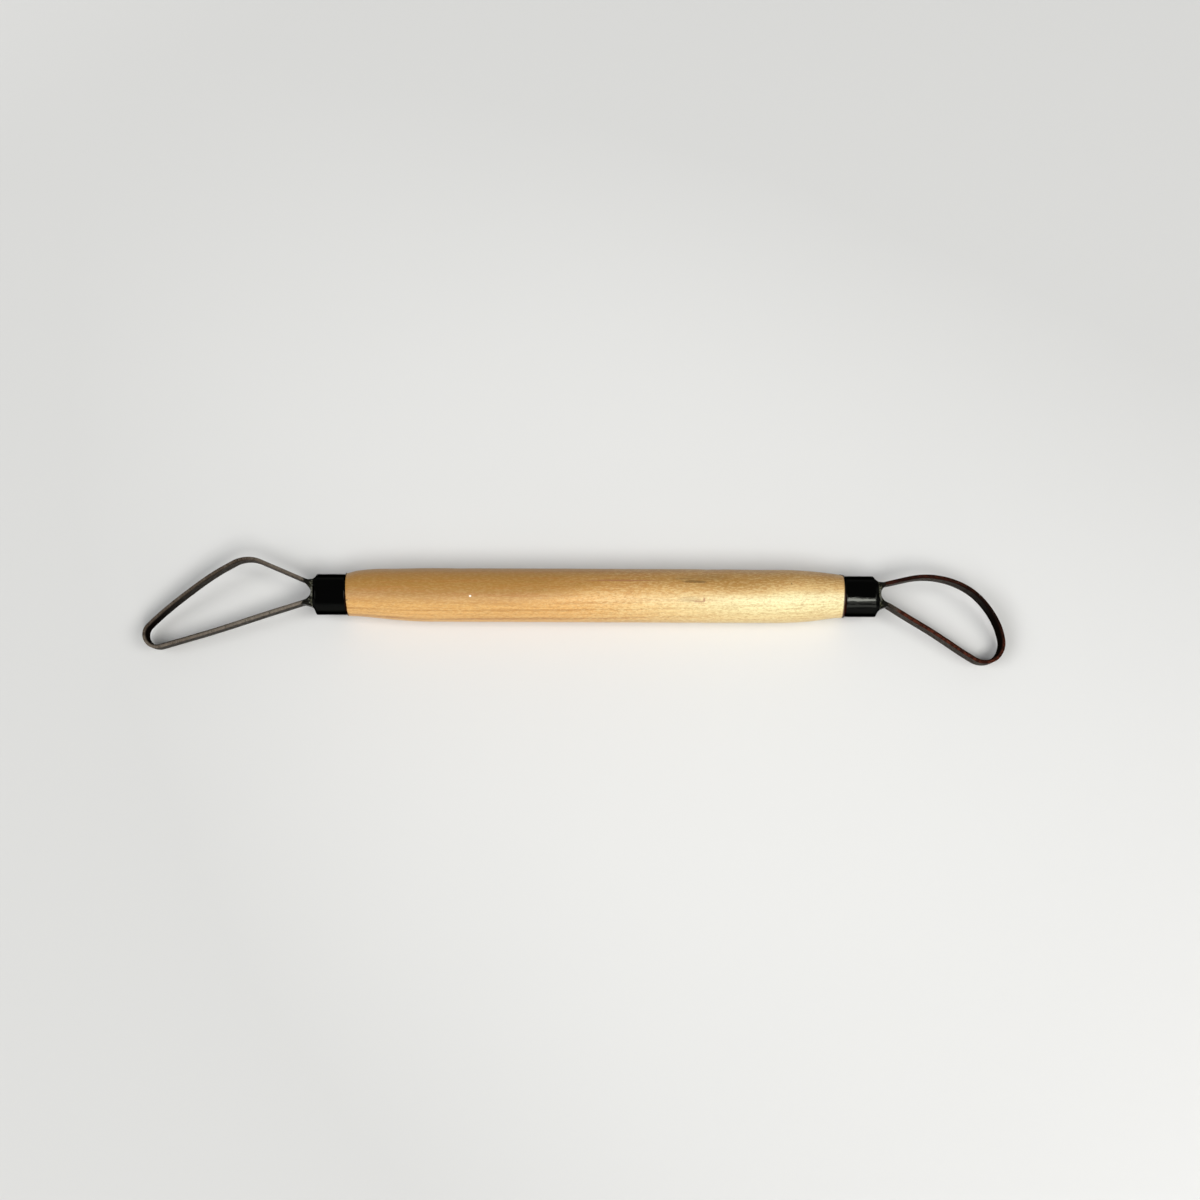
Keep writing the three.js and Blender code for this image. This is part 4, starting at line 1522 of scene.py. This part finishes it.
class SleevesOperator(bpy.types.Operator):
    """Fit the two black sleeves"""

    bl_idname = "ribbon_tool.sleeves"
    bl_label = "Sleeves"

    def execute(self, context):
        tool = settings_of(context)
        black = black_finish(tool.sleeve)
        for end, name, taper, nose in (
            (ANGLED_END, "angled", tool.grip.angled_taper, tool.angled_nose),
            (CURVED_END, "curved", tool.grip.curved_taper, tool.curved_nose),
        ):
            points, faces, attributes = sleeve_surface(end, taper, tool.grip, tool.sleeve, nose)
            node = f"{name}_end_sleeve"
            make_piece(f"{name}_sleeve", points, faces, black, node, attributes)
        return {"FINISHED"}


class ResinOperator(bpy.types.Operator):
    """Pour the resin into both noses"""

    bl_idname = "ribbon_tool.resin"
    bl_label = "Resin"

    def execute(self, context):
        tool = settings_of(context)
        olive = resin_finish(tool.resin)
        for end, name, path, _ in loops_of(tool):
            nose = tool.angled_nose if end == ANGLED_END else tool.curved_nose
            surface = resin_surface(path, end, tool.grip, tool.ribbon, tool.sleeve, nose, tool.resin)
            points, faces, attributes = surface
            make_piece(f"{name}_resin", points, faces, olive, f"{name}_end_resin", attributes)
        return {"FINISHED"}


OPERATORS = (StageOperator, GripOperator, LoopsOperator, SleevesOperator, ResinOperator)


class RibbonToolPanel(bpy.types.Panel):
    """Lists the steps that make the tool, with the settings of each group of pieces"""

    bl_idname = "VIEW3D_PT_ribbon_tool"
    bl_label = "Ribbon tool"
    bl_space_type = "VIEW_3D"
    bl_region_type = "UI"
    bl_category = "Ribbon tool"

    def draw(self, context):
        column = self.layout.column()
        for operator in OPERATORS:
            column.operator(operator.bl_idname, text=operator.bl_label)
        tool = settings_of(context)
        for group in RibbonToolSettings.__annotations__:
            part = getattr(tool, group)
            column.label(text=group.replace("_", " ").capitalize())
            for name in part.__annotations__:
                column.prop(part, name)


CLASSES = (
    GripSettings,
    RibbonSettings,
    AngledLoopSettings,
    CurvedLoopSettings,
    SleeveSettings,
    AngledNoseSettings,
    CurvedNoseSettings,
    ResinSettings,
    StageSettings,
    RibbonToolSettings,
    *OPERATORS,
    RibbonToolPanel,
)


def register():
    for made in CLASSES:
        bpy.utils.register_class(made)
    bpy.types.Scene.ribbon_tool = PointerProperty(type=RibbonToolSettings)


def unregister():
    del bpy.types.Scene.ribbon_tool
    for made in reversed(CLASSES):
        bpy.utils.unregister_class(made)


def main():
    """Makes the stage and every piece."""
    register()
    bpy.ops.ribbon_tool.stage()
    bpy.ops.ribbon_tool.grip()
    bpy.ops.ribbon_tool.loops()
    bpy.ops.ribbon_tool.sleeves()
    bpy.ops.ribbon_tool.resin()


if __name__ == "__main__":
    main()
